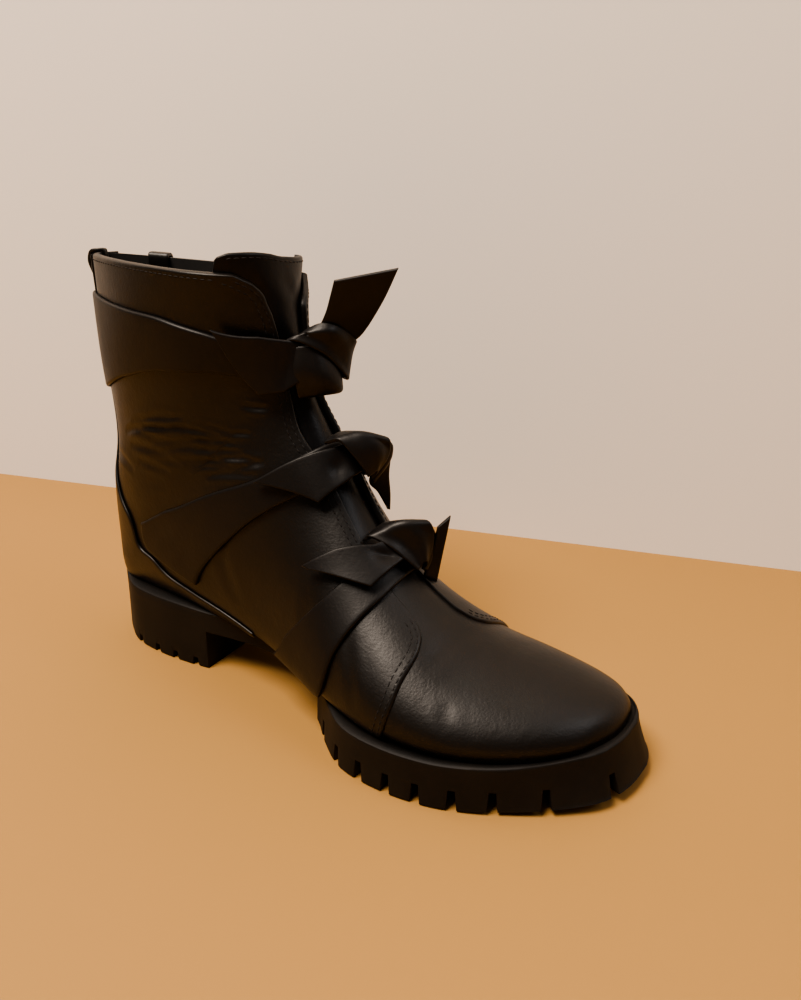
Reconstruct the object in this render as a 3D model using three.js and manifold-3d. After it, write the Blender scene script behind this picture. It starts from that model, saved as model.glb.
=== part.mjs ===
// Ankle boot in black leather for a right foot, with three knotted straps and a lugged unit sole.
// Millimetres. The toe points to -Y, the wearer's left (the inner, medial side) is +X and +Z is up.
// The origin is on the floor under the middle of the heel.
import * as THREE from "three";
import { mergeVertices } from "three/addons/utils/BufferGeometryUtils.js";
import Module from "manifold-3d";

const wasm = await Module();
wasm.setup();

// Driving sizes of the last and the upper
const LAST_LENGTH = 270;
const BALL_WIDTH = 86;
const UPPER_RISE = 161;
const WALL = 1.8;
const QUARTER_STEP = 1.2;
const TONGUE_THICKNESS = 1.6;
const COUNTER_THICKNESS = 1.3;
const STRAP_THICKNESS = 1.9;
const INSOLE_THICKNESS = 2.5;
const GAP = 0.3;

// Driving sizes of the sole
const HEEL_HEIGHT = 31;
const FOREPART_HEIGHT = 18.5;
const TOE_RISE = 4;
const SOLE_LIP = 1.5;
const SOLE_FLARE = 1.5;
const TOE_FLARE = 4.2;
const TREAD_TOE_RISE = 5.5;
const NOTCH_HEIGHT = 9.2;
const NOTCH_WIDTH = 5;
const NOTCH_DEPTH = 15;
const ORIGIN_FROM_HEEL_BACK = 36;

const SIDES = { lateral: -1, medial: 1 };
const DEGREE = Math.PI / 180;

const clamp = (v, low, high) => Math.min(high, Math.max(low, v));
const smooth = (v) => {
  const c = clamp(v, 0, 1);
  return c * c * (3 - 2 * c);
};

// Height of the sole's top over the floor at a distance forward of the heel's back
const SEAT_END = 0.167;
const BALL_START = 0.685;
const RISE_START = 0.76;

function soleTop(forward) {
  const share = forward / LAST_LENGTH;
  const fall = 1 - smooth((share - SEAT_END) / (BALL_START - SEAT_END));
  const rise = clamp((share - RISE_START) / (1 - RISE_START), 0, 1.3);
  return FOREPART_HEIGHT + (HEEL_HEIGHT - FOREPART_HEIGHT) * fall + TOE_RISE * rise * rise;
}

// Sections of the last, from the toe to above the collar. Each lies in a plane through a point of the
// top line and a point of the bottom or back line. front and back are shares of the last's length
// forward of the heel, rise and drop are heights over the sole's top as shares of the upper's rise,
// lateral and medial are half widths and ridge and keel are middles, as shares of the ball's width.
// widest is where the section is widest, from its top to its bottom end. crown and base are the
// fullness of its two halves, where 2 is an ellipse.
const SECTION_COLUMNS = [
  "front", "rise", "back", "drop", "lateral", "medial", "ridge", "keel", "widest", "crown", "base",
];
const SECTIONS = [
  [0.999, 0.01, 0.999, -0.025, 0.0, 0.0, 0.058, 0.058, 0.6, 2.0, 2.6],
  [0.995, 0.036, 0.995, -0.025, 0.105, 0.105, 0.058, 0.058, 0.6, 2.0, 2.8],
  [0.981, 0.064, 0.981, -0.025, 0.198, 0.18, 0.047, 0.047, 0.61, 2.0, 3.0],
  [0.956, 0.088, 0.956, -0.025, 0.29, 0.265, 0.02, 0.023, 0.62, 1.95, 3.2],
  [0.911, 0.115, 0.911, -0.025, 0.378, 0.35, -0.015, -0.012, 0.64, 1.9, 3.3],
  [0.844, 0.148, 0.844, -0.025, 0.465, 0.41, -0.04, -0.047, 0.66, 1.85, 3.3],
  [0.767, 0.193, 0.767, -0.025, 0.506, 0.43, -0.07, -0.081, 0.68, 1.8, 3.2],
  [0.693, 0.262, 0.678, -0.025, 0.505, 0.415, -0.08, -0.093, 0.7, 1.8, 3.0],
  [0.622, 0.35, 0.585, -0.025, 0.455, 0.38, -0.06, -0.081, 0.72, 1.85, 2.9],
  [0.565, 0.455, 0.481, -0.025, 0.39, 0.345, -0.03, -0.047, 0.72, 1.9, 2.9],
  [0.522, 0.552, 0.363, -0.025, 0.35, 0.335, 0.0, -0.012, 0.7, 1.95, 2.9],
  [0.491, 0.637, 0.22, -0.025, 0.335, 0.335, 0.0, 0.0, 0.67, 2.0, 2.9],
  [0.469, 0.704, 0.09, -0.025, 0.318, 0.318, 0.0, 0.0, 0.62, 2.0, 2.8],
  [0.456, 0.76, 0.02, -0.02, 0.308, 0.308, 0.0, 0.0, 0.58, 2.0, 2.6],
  [0.445, 0.819, 0.014, 0.115, 0.315, 0.315, 0.0, 0.0, 0.54, 2.0, 2.45],
  [0.439, 0.873, 0.02, 0.29, 0.33, 0.33, 0.0, 0.0, 0.5, 2.05, 2.3],
  [0.435, 0.927, 0.036, 0.47, 0.345, 0.345, 0.0, 0.0, 0.46, 2.1, 2.1],
  [0.431, 0.983, 0.02, 0.727, 0.362, 0.362, 0.0, 0.0, 0.38, 2.15, 1.85],
  [0.428, 1.041, 0.01, 1.003, 0.375, 0.375, 0.0, 0.0, 0.28, 2.2, 1.6],
  [0.425, 1.161, 0.006, 1.21, 0.375, 0.375, 0.0, 0.0, 0.24, 2.2, 1.5],
];
const LAST_SECTION = SECTIONS.length - 1;

// Value of a table's column at a place along it, smooth through the rows
function along(table, column, at) {
  const k = clamp(Math.floor(at), 0, table.length - 2);
  const f = at - k;
  const value = (i) => table[clamp(i, 0, table.length - 1)][column];
  const [a, b, c, d] = [value(k - 1), value(k), value(k + 1), value(k + 2)];
  const before = k === 0 ? c - b : (c - a) / 2;
  const after = k === table.length - 2 ? c - b : (d - b) / 2;
  const f2 = f * f;
  const f3 = f2 * f;
  return (2 * f3 - 3 * f2 + 1) * b + (f3 - 2 * f2 + f) * before + (3 * f2 - 2 * f3) * c + (f3 - f2) * after;
}

function sectionAt(station) {
  const row = {};
  SECTION_COLUMNS.forEach((name, column) => {
    row[name] = along(SECTIONS, column, station);
  });
  const top = row.front * LAST_LENGTH;
  const bottom = row.back * LAST_LENGTH;
  return {
    topForward: top,
    topUp: soleTop(top) + row.rise * UPPER_RISE,
    bottomForward: bottom,
    bottomUp: soleTop(bottom) + row.drop * UPPER_RISE,
    lateral: row.lateral * BALL_WIDTH,
    medial: row.medial * BALL_WIDTH,
    ridge: row.ridge * BALL_WIDTH,
    keel: row.keel * BALL_WIDTH,
    widest: row.widest,
    crown: row.crown,
    base: row.base,
  };
}

// A point of the last's surface. The turn is 0 on the top line, 180 degrees on the bottom or back
// line, negative on the lateral and positive on the medial side. Sizes are [across, forward, up].
function surfacePoint(station, turn) {
  const section = sectionAt(station);
  const angle = Math.abs(turn) * DEGREE;
  const upperHalf = angle <= Math.PI / 2;
  const power = 2 / (upperHalf ? section.crown : section.base);
  const reach = Math.pow(Math.abs(Math.cos(angle)), power);
  const spread = Math.pow(Math.abs(Math.sin(angle)), power);
  const down = upperHalf ? section.widest * (1 - reach) : section.widest + (1 - section.widest) * reach;
  const half = turn < 0 ? -section.lateral : section.medial;
  return new THREE.Vector3(
    section.ridge + (section.keel - section.ridge) * down + half * spread,
    section.topForward + (section.bottomForward - section.topForward) * down,
    section.topUp + (section.bottomUp - section.topUp) * down,
  );
}

const STEP_STATION = 0.05;
const STEP_TURN = 1.5;

function sideNormal(station, turn, side) {
  const s = clamp(station, STEP_STATION, LAST_SECTION - STEP_STATION);
  const t = clamp(Math.abs(turn), STEP_TURN * 1.2, 180 - STEP_TURN * 1.2) * side;
  const alongStation = surfacePoint(s + STEP_STATION, t).sub(surfacePoint(s - STEP_STATION, t));
  const alongTurn = surfacePoint(s, t + STEP_TURN).sub(surfacePoint(s, t - STEP_TURN));
  return alongStation.cross(alongTurn).normalize();
}

function surfaceNormal(station, turn) {
  const size = Math.abs(turn);
  const onMiddle = size < 0.01 || size > 179.99;
  if (station > 0 && !onMiddle) return sideNormal(station, turn, Math.sign(turn));
  const normal = sideNormal(station, turn, 1).add(sideNormal(station, turn, -1));
  if (station <= 0) normal.x = 0;
  return normal.normalize();
}

// The same surface at a distance outwards, or inwards if the distance is negative
function skin(station, turn, distance) {
  return surfacePoint(station, turn).addScaledVector(surfaceNormal(station, turn), distance);
}

// Row frame: across is X, forward is towards -Y
const place = (p) => new THREE.Vector3(p.x, ORIGIN_FROM_HEEL_BACK - p.y, p.z);

// Solids from vertex lists
function solidFrom(points, triangles) {
  const geometry = new THREE.BufferGeometry();
  const places = new Float32Array(points.flatMap((p) => [p.x, p.y, p.z]));
  geometry.setAttribute("position", new THREE.BufferAttribute(places, 3));
  geometry.setIndex(triangles.flat());
  return solidOf(geometry);
}

function solidOf(geometry) {
  const bare = geometry.clone();
  bare.deleteAttribute("normal");
  bare.deleteAttribute("uv");
  const merged = mergeVertices(bare, 1e-3);
  const triangles = merged.index.array;
  const kept = [];
  for (let i = 0; i < triangles.length; i += 3) {
    const [a, b, c] = [triangles[i], triangles[i + 1], triangles[i + 2]];
    if (a !== b && b !== c && a !== c) kept.push(a, b, c);
  }
  const made = new wasm.Manifold(
    new wasm.Mesh({
      numProp: 3,
      vertProperties: new Float32Array(merged.attributes.position.array),
      triVerts: new Uint32Array(kept),
    }),
  );
  const status = made.status();
  if (status !== "NoError") throw new Error("not closed: " + status);
  return made;
}

// Stations and turns shared by every form, so that nested forms have parallel facets
const STATIONS = [0];
for (let k = 0; k < LAST_SECTION; k += 1) {
  const steps = k < 5 || k > 10 ? 1 : 2;
  for (let i = 1; i <= steps; i += 1) STATIONS.push(k + i / steps);
}
const TURNS = [0, 14, 28, 42, 57, 73, 90, 108, 126, 142, 156, 168, 180];

function form(distance) {
  const ring = [...TURNS.slice(0, -1), ...TURNS.slice(1).reverse().map((t) => -t)];
  ring[TURNS.length - 1] = 180;
  const points = [];
  STATIONS.forEach((station) => ring.forEach((turn) => points.push(place(skin(station, turn, distance)))));
  const n = ring.length;
  const triangles = [];
  for (let i = 0; i + 1 < STATIONS.length; i += 1) {
    for (let j = 0; j < n; j += 1) {
      const [a, b] = [i * n + j, i * n + ((j + 1) % n)];
      triangles.push([a, b, a + n], [b, b + n, a + n]);
    }
  }
  const last = (STATIONS.length - 1) * n;
  const centre = points.length;
  const total = points.slice(last, last + n).reduce((sum, p) => sum.add(p), new THREE.Vector3());
  points.push(total.divideScalar(n));
  for (let j = 0; j < n; j += 1) triangles.push([last + j, last + ((j + 1) % n), centre]);
  return solidFrom(points, triangles);
}

// A sheet on the skin between two distances, from rows of [station, turn] pairs
function patch(rows, inner, outer) {
  const width = rows[0].length;
  const points = [];
  rows.forEach((row) => row.forEach(([station, turn]) => points.push(place(skin(station, turn, outer)))));
  rows.forEach((row) => row.forEach(([station, turn]) => points.push(place(skin(station, turn, inner)))));
  return sheetFrom(points, rows.length, width);
}

// A closed sheet from a grid of outer points that is followed by the same grid of inner points
function sheetFrom(points, height, width) {
  const count = height * width;
  const triangles = [];
  for (let i = 0; i + 1 < height; i += 1) {
    for (let j = 0; j + 1 < width; j += 1) {
      const [a, b, c, d] = [i * width + j, i * width + j + 1, (i + 1) * width + j, (i + 1) * width + j + 1];
      triangles.push([a, b, c], [b, d, c]);
      triangles.push([a + count, c + count, b + count], [b + count, c + count, d + count]);
    }
  }
  const rim = [];
  for (let j = 0; j < width; j += 1) rim.push(j);
  for (let i = 1; i < height; i += 1) rim.push(i * width + width - 1);
  for (let j = width - 2; j >= 0; j -= 1) rim.push((height - 1) * width + j);
  for (let i = height - 2; i > 0; i -= 1) rim.push(i * width);
  rim.forEach((a, k) => {
    const b = rim[(k + 1) % rim.length];
    triangles.push([a, a + count, b], [b, a + count, b + count]);
  });
  return solidFrom(points, triangles);
}

// A block across the boot with an outline of [forward, up] pairs, given counterclockwise in that plane
function block(outline) {
  const shape = new THREE.Shape(outline.map(([forward, up]) => new THREE.Vector2(forward, up)));
  const reach = 2 * BALL_WIDTH;
  const geometry = new THREE.ExtrudeGeometry(shape, { depth: reach, bevelEnabled: false });
  geometry.translate(0, 0, -reach / 2);
  const turned = new THREE.Matrix4().makeBasis(
    new THREE.Vector3(0, -1, 0),
    new THREE.Vector3(0, 0, 1),
    new THREE.Vector3(-1, 0, 0),
  );
  geometry.applyMatrix4(turned);
  geometry.translate(0, ORIGIN_FROM_HEEL_BACK, 0);
  return solidOf(geometry);
}

// Everything over the sole's top, raised by a height
function overSole(height) {
  const outline = [];
  for (let i = -2; i <= 28; i += 1) {
    const forward = (i / 24) * LAST_LENGTH;
    outline.push([forward, soleTop(forward) + height]);
  }
  const top = HEEL_HEIGHT + 2 * UPPER_RISE;
  outline.push([outline[outline.length - 1][0], top], [outline[0][0], top]);
  return block(outline);
}

// Value of the second column where the first has the value x, in straight lines
function straight(table, x) {
  const rising = table[table.length - 1][0] > table[0][0];
  const rows = rising ? table : [...table].reverse();
  if (x <= rows[0][0]) return rows[0][1];
  for (let i = 1; i < rows.length; i += 1) {
    if (x <= rows[i][0]) {
      const share = (x - rows[i - 1][0]) / (rows[i][0] - rows[i - 1][0]);
      return rows[i - 1][1] + (rows[i][1] - rows[i - 1][1]) * share;
    }
  }
  return rows[rows.length - 1][1];
}

// Outline of the sole's rim. forward is a share of the last's length from the heel's back,
// lateral and medial are shares of the ball's width from the middle line.
const OUTLINE = [
  [-0.0055, 0.0, 0.0],
  [0.002, 0.1, 0.1],
  [0.02, 0.18, 0.178],
  [0.052, 0.256, 0.252],
  [0.09, 0.32, 0.316],
  [0.143, 0.345, 0.343],
  [0.2, 0.346, 0.344],
  [0.264, 0.326, 0.328],
  [0.322, 0.288, 0.299],
  [0.4, 0.252, 0.275],
  [0.481, 0.275, 0.287],
  [0.54, 0.39, 0.331],
  [0.581, 0.506, 0.36],
  [0.635, 0.616, 0.384],
  [0.709, 0.645, 0.413],
  [0.778, 0.624, 0.419],
  [0.826, 0.58, 0.419],
  [0.874, 0.513, 0.401],
  [0.919, 0.421, 0.372],
  [0.959, 0.313, 0.314],
  [0.989, 0.21, 0.244],
  [1.007, 0.079, 0.151],
  [1.013, -0.07, 0.07],
];
const OUTLINE_END = OUTLINE.length - 1;

// A point of the rim's outline and the direction outwards, as [across, forward] pairs
function rimPoint(at, side) {
  const across = along(OUTLINE, side < 0 ? 1 : 2, at) * BALL_WIDTH;
  return new THREE.Vector2(side * across, along(OUTLINE, 0, at) * LAST_LENGTH);
}

function rimOutwards(at, side) {
  if (at <= 0) return new THREE.Vector2(0, -1);
  if (at >= OUTLINE_END) return new THREE.Vector2(0, 1);
  const step = rimPoint(Math.min(at + 0.05, OUTLINE_END), side).sub(rimPoint(Math.max(at - 0.05, 0), side));
  return new THREE.Vector2(side * step.y, -side * step.x).normalize();
}

function rimAt(forward) {
  let [low, high] = [0, OUTLINE_END];
  for (let i = 0; i < 40; i += 1) {
    const middle = (low + high) / 2;
    if (along(OUTLINE, 0, middle) * LAST_LENGTH < forward) low = middle;
    else high = middle;
  }
  return (low + high) / 2;
}

// Outsole: rings from the lip down to the tread
const FLARE_START = 0.87;

function flareAt(forward) {
  return SOLE_FLARE + TOE_FLARE * smooth((forward / LAST_LENGTH - FLARE_START) / (1.01 - FLARE_START));
}

function treadRise(forward) {
  return TREAD_TOE_RISE * Math.pow(clamp((forward / LAST_LENGTH - 0.77) / 0.26, 0, 1), 1.6);
}

function soleBlank() {
  const places = [];
  for (let k = 0; k < OUTLINE_END; k += 1) places.push(k, k + 0.5);
  places.push(OUTLINE_END);
  const loop = [
    ...places.map((at) => [at, SIDES.lateral]),
    ...places.slice(1, -1).reverse().map((at) => [at, SIDES.medial]),
  ];
  const ring = (inset, height) =>
    loop.map(([at, side]) => {
      const rim = rimPoint(at, side);
      const foot = rim.y;
      const out = rimOutwards(at, side);
      const moved = rim.clone().addScaledVector(out, inset(foot));
      return place(new THREE.Vector3(moved.x, moved.y, height(foot)));
    });
  const rings = [
    ring(() => -0.7, (forward) => soleTop(forward) + SOLE_LIP),
    ring(() => 0, (forward) => soleTop(forward) + SOLE_LIP - 1.2),
    ring(flareAt, treadRise),
  ];
  const n = loop.length;
  const half = places.length;
  const triangles = [];
  for (let i = 0; i + 1 < rings.length; i += 1) {
    for (let j = 0; j < n; j += 1) {
      const [a, b] = [i * n + j, i * n + ((j + 1) % n)];
      triangles.push([a, a + n, b], [b, a + n, b + n]);
    }
  }
  const bottom = (rings.length - 1) * n;
  for (let i = 0; i + 1 < half; i += 1) {
    const [a, b] = [i, i + 1];
    const [c, d] = [(n - i) % n, (n - i - 1) % n];
    triangles.push([a, b, c], [b, d, c]);
    triangles.push([bottom + a, bottom + c, bottom + b], [bottom + b, bottom + c, bottom + d]);
  }
  return solidFrom(rings.flat(), triangles);
}

// A notch in the side of the tread that widens downwards and runs a way in under the sole
function notch(forwardShare, side, height, depth) {
  const at = rimAt(forwardShare * LAST_LENGTH);
  const out = rimOutwards(at, side);
  const rim = rimPoint(at, side);
  const across = new THREE.Vector2(-out.y, out.x);
  const floor = treadRise(rim.y);
  const points = [];
  [flareAt(rim.y) + 3, -depth].forEach((reach) => {
    const middle = rim.clone().addScaledVector(out, reach);
    const wide = NOTCH_WIDTH * (reach > 0 ? 1 : 0.6);
    const corners = [
      [-wide / 2, floor - 2],
      [wide / 2, floor - 2],
      [wide * 0.3, floor + height],
      [-wide * 0.3, floor + height],
    ];
    corners.forEach(([aside, up]) => {
      const corner = middle.clone().addScaledVector(across, aside);
      points.push(place(new THREE.Vector3(corner.x, corner.y, up)));
    });
  });
  return wasm.Manifold.hull(points.map((p) => [p.x, p.y, p.z]));
}

const BREAST = 0.271;
const WAIST_UNDER = [
  [0.271, 0.66],
  [0.36, 0.6],
  [0.45, 0.5],
  [0.532, 0.42],
];
const FOREPART_NOTCHES = [0.572, 0.624, 0.671, 0.718, 0.764, 0.817, 0.87, 0.931, 0.995];
const HEEL_NOTCHES = [0.1, 0.15, 0.196, 0.243];

function makeOutsole() {
  const arch = WAIST_UNDER.map(([forward, up]) => [forward * LAST_LENGTH, up * HEEL_HEIGHT]).reverse();
  const [rear, front] = [BREAST * LAST_LENGTH, WAIST_UNDER[WAIST_UNDER.length - 1][0] * LAST_LENGTH];
  let sole = soleBlank().subtract(form(QUARTER_STEP + 2 * GAP).intersect(overSole(0)));
  sole = sole.subtract(block([[rear, -5], [front, -5], ...arch]));
  [SIDES.lateral, SIDES.medial].forEach((side) => {
    FOREPART_NOTCHES.forEach((share) => {
      sole = sole.subtract(notch(share, side, NOTCH_HEIGHT, NOTCH_DEPTH));
    });
    HEEL_NOTCHES.forEach((share) => {
      sole = sole.subtract(notch(share, side, NOTCH_HEIGHT * 0.5, NOTCH_DEPTH * 0.7));
    });
  });
  return sole;
}

// Edges of the throat: station, lateral turn, medial turn
const THROAT_START = 8;
const THROAT = [
  [7.9, -20, 12],
  [8.6, -19, 12],
  [9.4, -19, 12],
  [10.4, -20, 12],
  [11.4, -22, 13],
  [12.4, -20, 13],
  [13.6, -19, 13],
  [15.2, -18, 13],
  [16.2, -20, 14],
  [16.6, -22, 20],
  [17.0, -24, 32],
  [17.5, -31, 46],
  [17.8, -42, 56],
  [18.0, -56, 64],
  [18.9, -60, 68],
];

// Front edge of the quarters over the vamp: turn, station
const LATERAL_FRONT = [
  [-18, 7.48],
  [-22, 6.93],
  [-27, 6.7],
  [-37, 6.6],
  [-55, 6.62],
  [-74, 6.64],
  [-113, 6.77],
  [-180, 6.9],
];
const MEDIAL_FRONT = [
  [11, 7.2],
  [12, 6.6],
  [16, 6.25],
  [24, 6.05],
  [36, 5.97],
  [55, 5.95],
  [75, 6.0],
  [113, 6.2],
  [180, 6.9],
];

// Columns of turns that go round the back from the medial to the lateral edge
function roundTheBack(lateralEdge, medialEdge, steps) {
  const columns = [];
  for (let i = 0; i <= steps; i += 1) columns.push(medialEdge + ((180 - medialEdge) * i) / steps);
  for (let i = steps - 1; i >= 0; i -= 1) columns.push(lateralEdge + ((-180 - lateralEdge) * i) / steps);
  return columns;
}

// The two quarters as one sheet between two distances from the last
function quarters(inner, outer) {
  const turns = [
    10,
    ...TURNS.filter((turn) => turn > 10),
    ...TURNS.filter((turn) => turn > 20 && turn < 180).reverse().map((turn) => -turn),
    -17,
  ];
  const rows = [];
  for (let i = 0; i < 4; i += 1) {
    rows.push(
      turns.map((turn) => {
        const front = straight(turn < 0 ? LATERAL_FRONT : MEDIAL_FRONT, turn);
        return [front + ((THROAT_START - front) * i) / 4, turn];
      }),
    );
  }
  STATIONS.filter((station) => station >= THROAT_START).forEach((station) => {
    rows.push(turns.map((turn) => [station, turn]));
  });
  return patch(rows, inner, outer);
}

// The collar is a plane that is level at the back seam, lower on the medial side and towards the front,
// as rise for each millimetre
const COLLAR_LEAN = 0.1;
const COLLAR_FALL = 0.04;

const collarAt = (p) => HEEL_HEIGHT + UPPER_RISE - COLLAR_LEAN * p.x - COLLAR_FALL * p.y;

function aboveCollar(height) {
  const far = LAST_LENGTH * 1.5;
  const geometry = new THREE.BoxGeometry(2 * far, 2 * far, far);
  geometry.translate(0, 0, far / 2);
  const corners = geometry.attributes.position;
  for (let i = 0; i < corners.count; i += 1) {
    const corner = new THREE.Vector3(corners.getX(i), ORIGIN_FROM_HEEL_BACK - corners.getY(i), 0);
    corners.setZ(i, corners.getZ(i) + collarAt(corner) + height);
  }
  return solidOf(geometry);
}

function makeUpper() {
  const throat = patch(
    THROAT.map(([station, lateral, medial]) => {
      const row = [];
      for (let i = 0; i <= 8; i += 1) row.push([station, lateral + ((medial - lateral) * i) / 8]);
      return row;
    }),
    -WALL - 4,
    QUARTER_STEP + 4,
  );
  return form(0)
    .add(quarters(-WALL / 2, QUARTER_STEP))
    .subtract(form(-WALL))
    .intersect(overSole(GAP))
    .subtract(aboveCollar(0))
    .subtract(throat);
}

// Room that the upper and a gap take up, for what lies on it
function overUpper(distance) {
  return form(distance).add(quarters(-WALL / 2, distance));
}

// Tongue: half width in turns at each station
const TONGUE_WIDTHS = [
  [7.55, 26],
  [8.5, 32],
  [10, 36],
  [12, 42],
  [14, 48],
  [16, 55],
  [17.6, 61],
  [18.15, 60],
  [18.3, 54],
];

const TONGUE_STATIONS = [
  7.55, 8, 8.5, 9, 9.5, 10, 10.5, 11, 11.5, 12, 12.5, 13, 13.5, 14, 15, 16, 17, 17.6, 18.15, 18.3,
];
// Top edge of the tongue: share of its half width to the medial side, how much lower it is in stations
const TONGUE_DIP = [
  [-1, 0.08],
  [-0.9, 0],
  [-0.5, -0.02],
  [-0.2, 0.03],
  [0, 0.12],
  [0.3, 0.2],
  [0.6, 0.25],
  [1, 0.3],
];

function makeTongue() {
  const outer = -WALL - GAP;
  const rows = TONGUE_STATIONS.map((station) => {
    const half = straight(TONGUE_WIDTHS, station);
    const counts = clamp(station - 17, 0, 1);
    const row = [];
    for (let i = 0; i <= 10; i += 1) {
      const side = i / 5 - 1;
      row.push([station - straight(TONGUE_DIP, side) * counts, half * side]);
    }
    return row;
  });
  return patch(rows, outer - TONGUE_THICKNESS, outer + 1).intersect(form(outer));
}

function makeInsole() {
  return form(-WALL - GAP).intersect(overSole(GAP)).subtract(overSole(GAP + INSOLE_THICKNESS));
}

// Heel counter and back stay: station, turn of its edge
const COUNTER_EDGE = [
  [9.9, 122],
  [10.5, 117],
  [11.5, 113],
  [12.3, 107],
  [13.1, 110],
  [13.9, 117],
  [14.8, 135],
  [15.6, 152],
  [16.4, 160],
  [17.2, 163],
  [17.96, 164],
];

const COUNTER_STATIONS = [
  9.9, 10.5, 11, 11.5, 12, 12.3, 12.7, 13.1, 13.5, 13.9, 14.4, 14.8, 15.2, 15.6, 16, 16.4, 17.2, 17.96,
];

function makeCounter() {
  const inner = QUARTER_STEP + GAP;
  const rows = COUNTER_STATIONS.map((station) => {
    const edge = straight(COUNTER_EDGE, station);
    return roundTheBack(-edge, edge, 5).map((turn) => [station, turn]);
  });
  return patch(rows, inner - 1, inner + COUNTER_THICKNESS)
    .subtract(overUpper(inner))
    .intersect(overSole(SOLE_LIP + GAP));
}

// Straps: turn on either side, station of the upper and of the lower edge. EDGE_ROOM is the room left
// beside a strap's edge, in stations.
const EDGE_ROOM = 0.04;
const ANKLE_STRAP = [
  [160, 17.6, 16.55],
  [138, 17.53, 16.54],
  [114, 17.37, 16.49],
  [90, 17.1, 16.26],
  [63, 16.55, 15.61],
  [42, 15.8, 14.64],
  [20, 14.95, 13.9],
  [0, 14.8, 13.7],
];
const INSTEP_STRAP = [
  [104, 13.5, 11.05],
  [89, 13.13, 11.09],
  [68, 12.1, 10.89],
  [53, 11.45, 10.61],
  [39, 11.1, 10.28],
  [20, 10.8, 10.0],
  [0, 10.65, 9.9],
];
const VAMP_STRAP = [
  [118, 9.36, 8.2],
  [100, 9.22, 8.1],
  [88, 9.14, 8.04],
  [71, 8.88, 8.0],
  [56, 8.65, 7.9],
  [42, 8.48, 7.78],
  [24, 8.3, 7.65],
  [0, 8.2, 7.6],
];

const STRAP_UNDER = QUARTER_STEP + GAP;

function strapPatch(table, inner, outer, margin) {
  const turns = [];
  for (let i = 0; i + 1 < table.length; i += 1) {
    turns.push(table[i][0], (table[i][0] + table[i + 1][0]) / 2);
  }
  const across = [...turns.map((turn) => -turn), ...[0, ...turns.reverse()]];
  const rows = [0, 1, 2, 3].map((k) =>
    across.map((turn) => {
      const up = straight(table.map((row) => [row[0], row[1]]), Math.abs(turn)) + margin;
      const low = straight(table.map((row) => [row[0], row[2]]), Math.abs(turn)) - margin;
      return [low + ((up - low) * k) / 3, turn];
    }),
  );
  return patch(rows, inner, outer);
}

function makeStrap(table) {
  return strapPatch(table, STRAP_UNDER - 1, STRAP_UNDER + STRAP_THICKNESS, 0)
    .subtract(overUpper(STRAP_UNDER))
    .intersect(overSole(SOLE_LIP + GAP));
}

// A knot is a bulging wrap of the strap, standing on the strap over the ridge. Each is a station, the
// height, width and depth, a tilt in the plane of the front, and a lean to the lateral side.
const KNOTS = {
  ankle: [14.15, 29, 26, 17, 20, 0],
  instep: [10.0, 23, 30, 15, -12, -1],
  vamp: [8.0, 22, 30, 14, -18, 0],
};
const WRAP = [
  [-0.5, 0.45],
  [-0.44, 0.78],
  [-0.28, 0.96],
  [0, 0.86],
  [0.28, 0.98],
  [0.44, 0.84],
  [0.5, 0.5],
];

// Axes at the ridge: across to the lateral side, up along the front and out of the upper
function ridgeFrame(station, tilt) {
  const out = place(skin(station, 0, 1)).sub(place(skin(station, 0, 0))).normalize();
  const rise = place(surfacePoint(station + 0.2, 0)).sub(place(surfacePoint(station - 0.2, 0))).normalize();
  const up = rise.clone().applyAxisAngle(out, tilt * DEGREE);
  return { across: new THREE.Vector3().crossVectors(out, up), up, out };
}

function makeKnot(sizes) {
  const [station, height, width, depth, tilt, lean] = sizes;
  const axes = ridgeFrame(station, tilt);
  const under = STRAP_UNDER + STRAP_THICKNESS + GAP;
  const middle = place(skin(station, 0, under + depth * 0.36)).addScaledVector(axes.across, lean);
  const around = 12;
  const points = [];
  WRAP.forEach(([share, scale]) => {
    for (let i = 0; i < around; i += 1) {
      const angle = (i / around) * 2 * Math.PI;
      const wide = Math.cos(angle) * (width / 2) * scale;
      const deep = Math.sin(angle) * (depth / 2) * (0.6 + 0.4 * scale);
      points.push(
        middle
          .clone()
          .addScaledVector(axes.up, share * height)
          .addScaledVector(axes.across, wide)
          .addScaledVector(axes.out, deep),
      );
    }
  });
  const triangles = [];
  for (let k = 0; k + 1 < WRAP.length; k += 1) {
    for (let i = 0; i < around; i += 1) {
      const [a, b] = [k * around + i, k * around + ((i + 1) % around)];
      triangles.push([a, b, a + around], [b, b + around, a + around]);
    }
  }
  const last = (WRAP.length - 1) * around;
  for (let i = 1; i + 1 < around; i += 1) {
    triangles.push([0, i + 1, i], [last, last + i, last + i + 1]);
  }
  return solidFrom(points, triangles);
}

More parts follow.
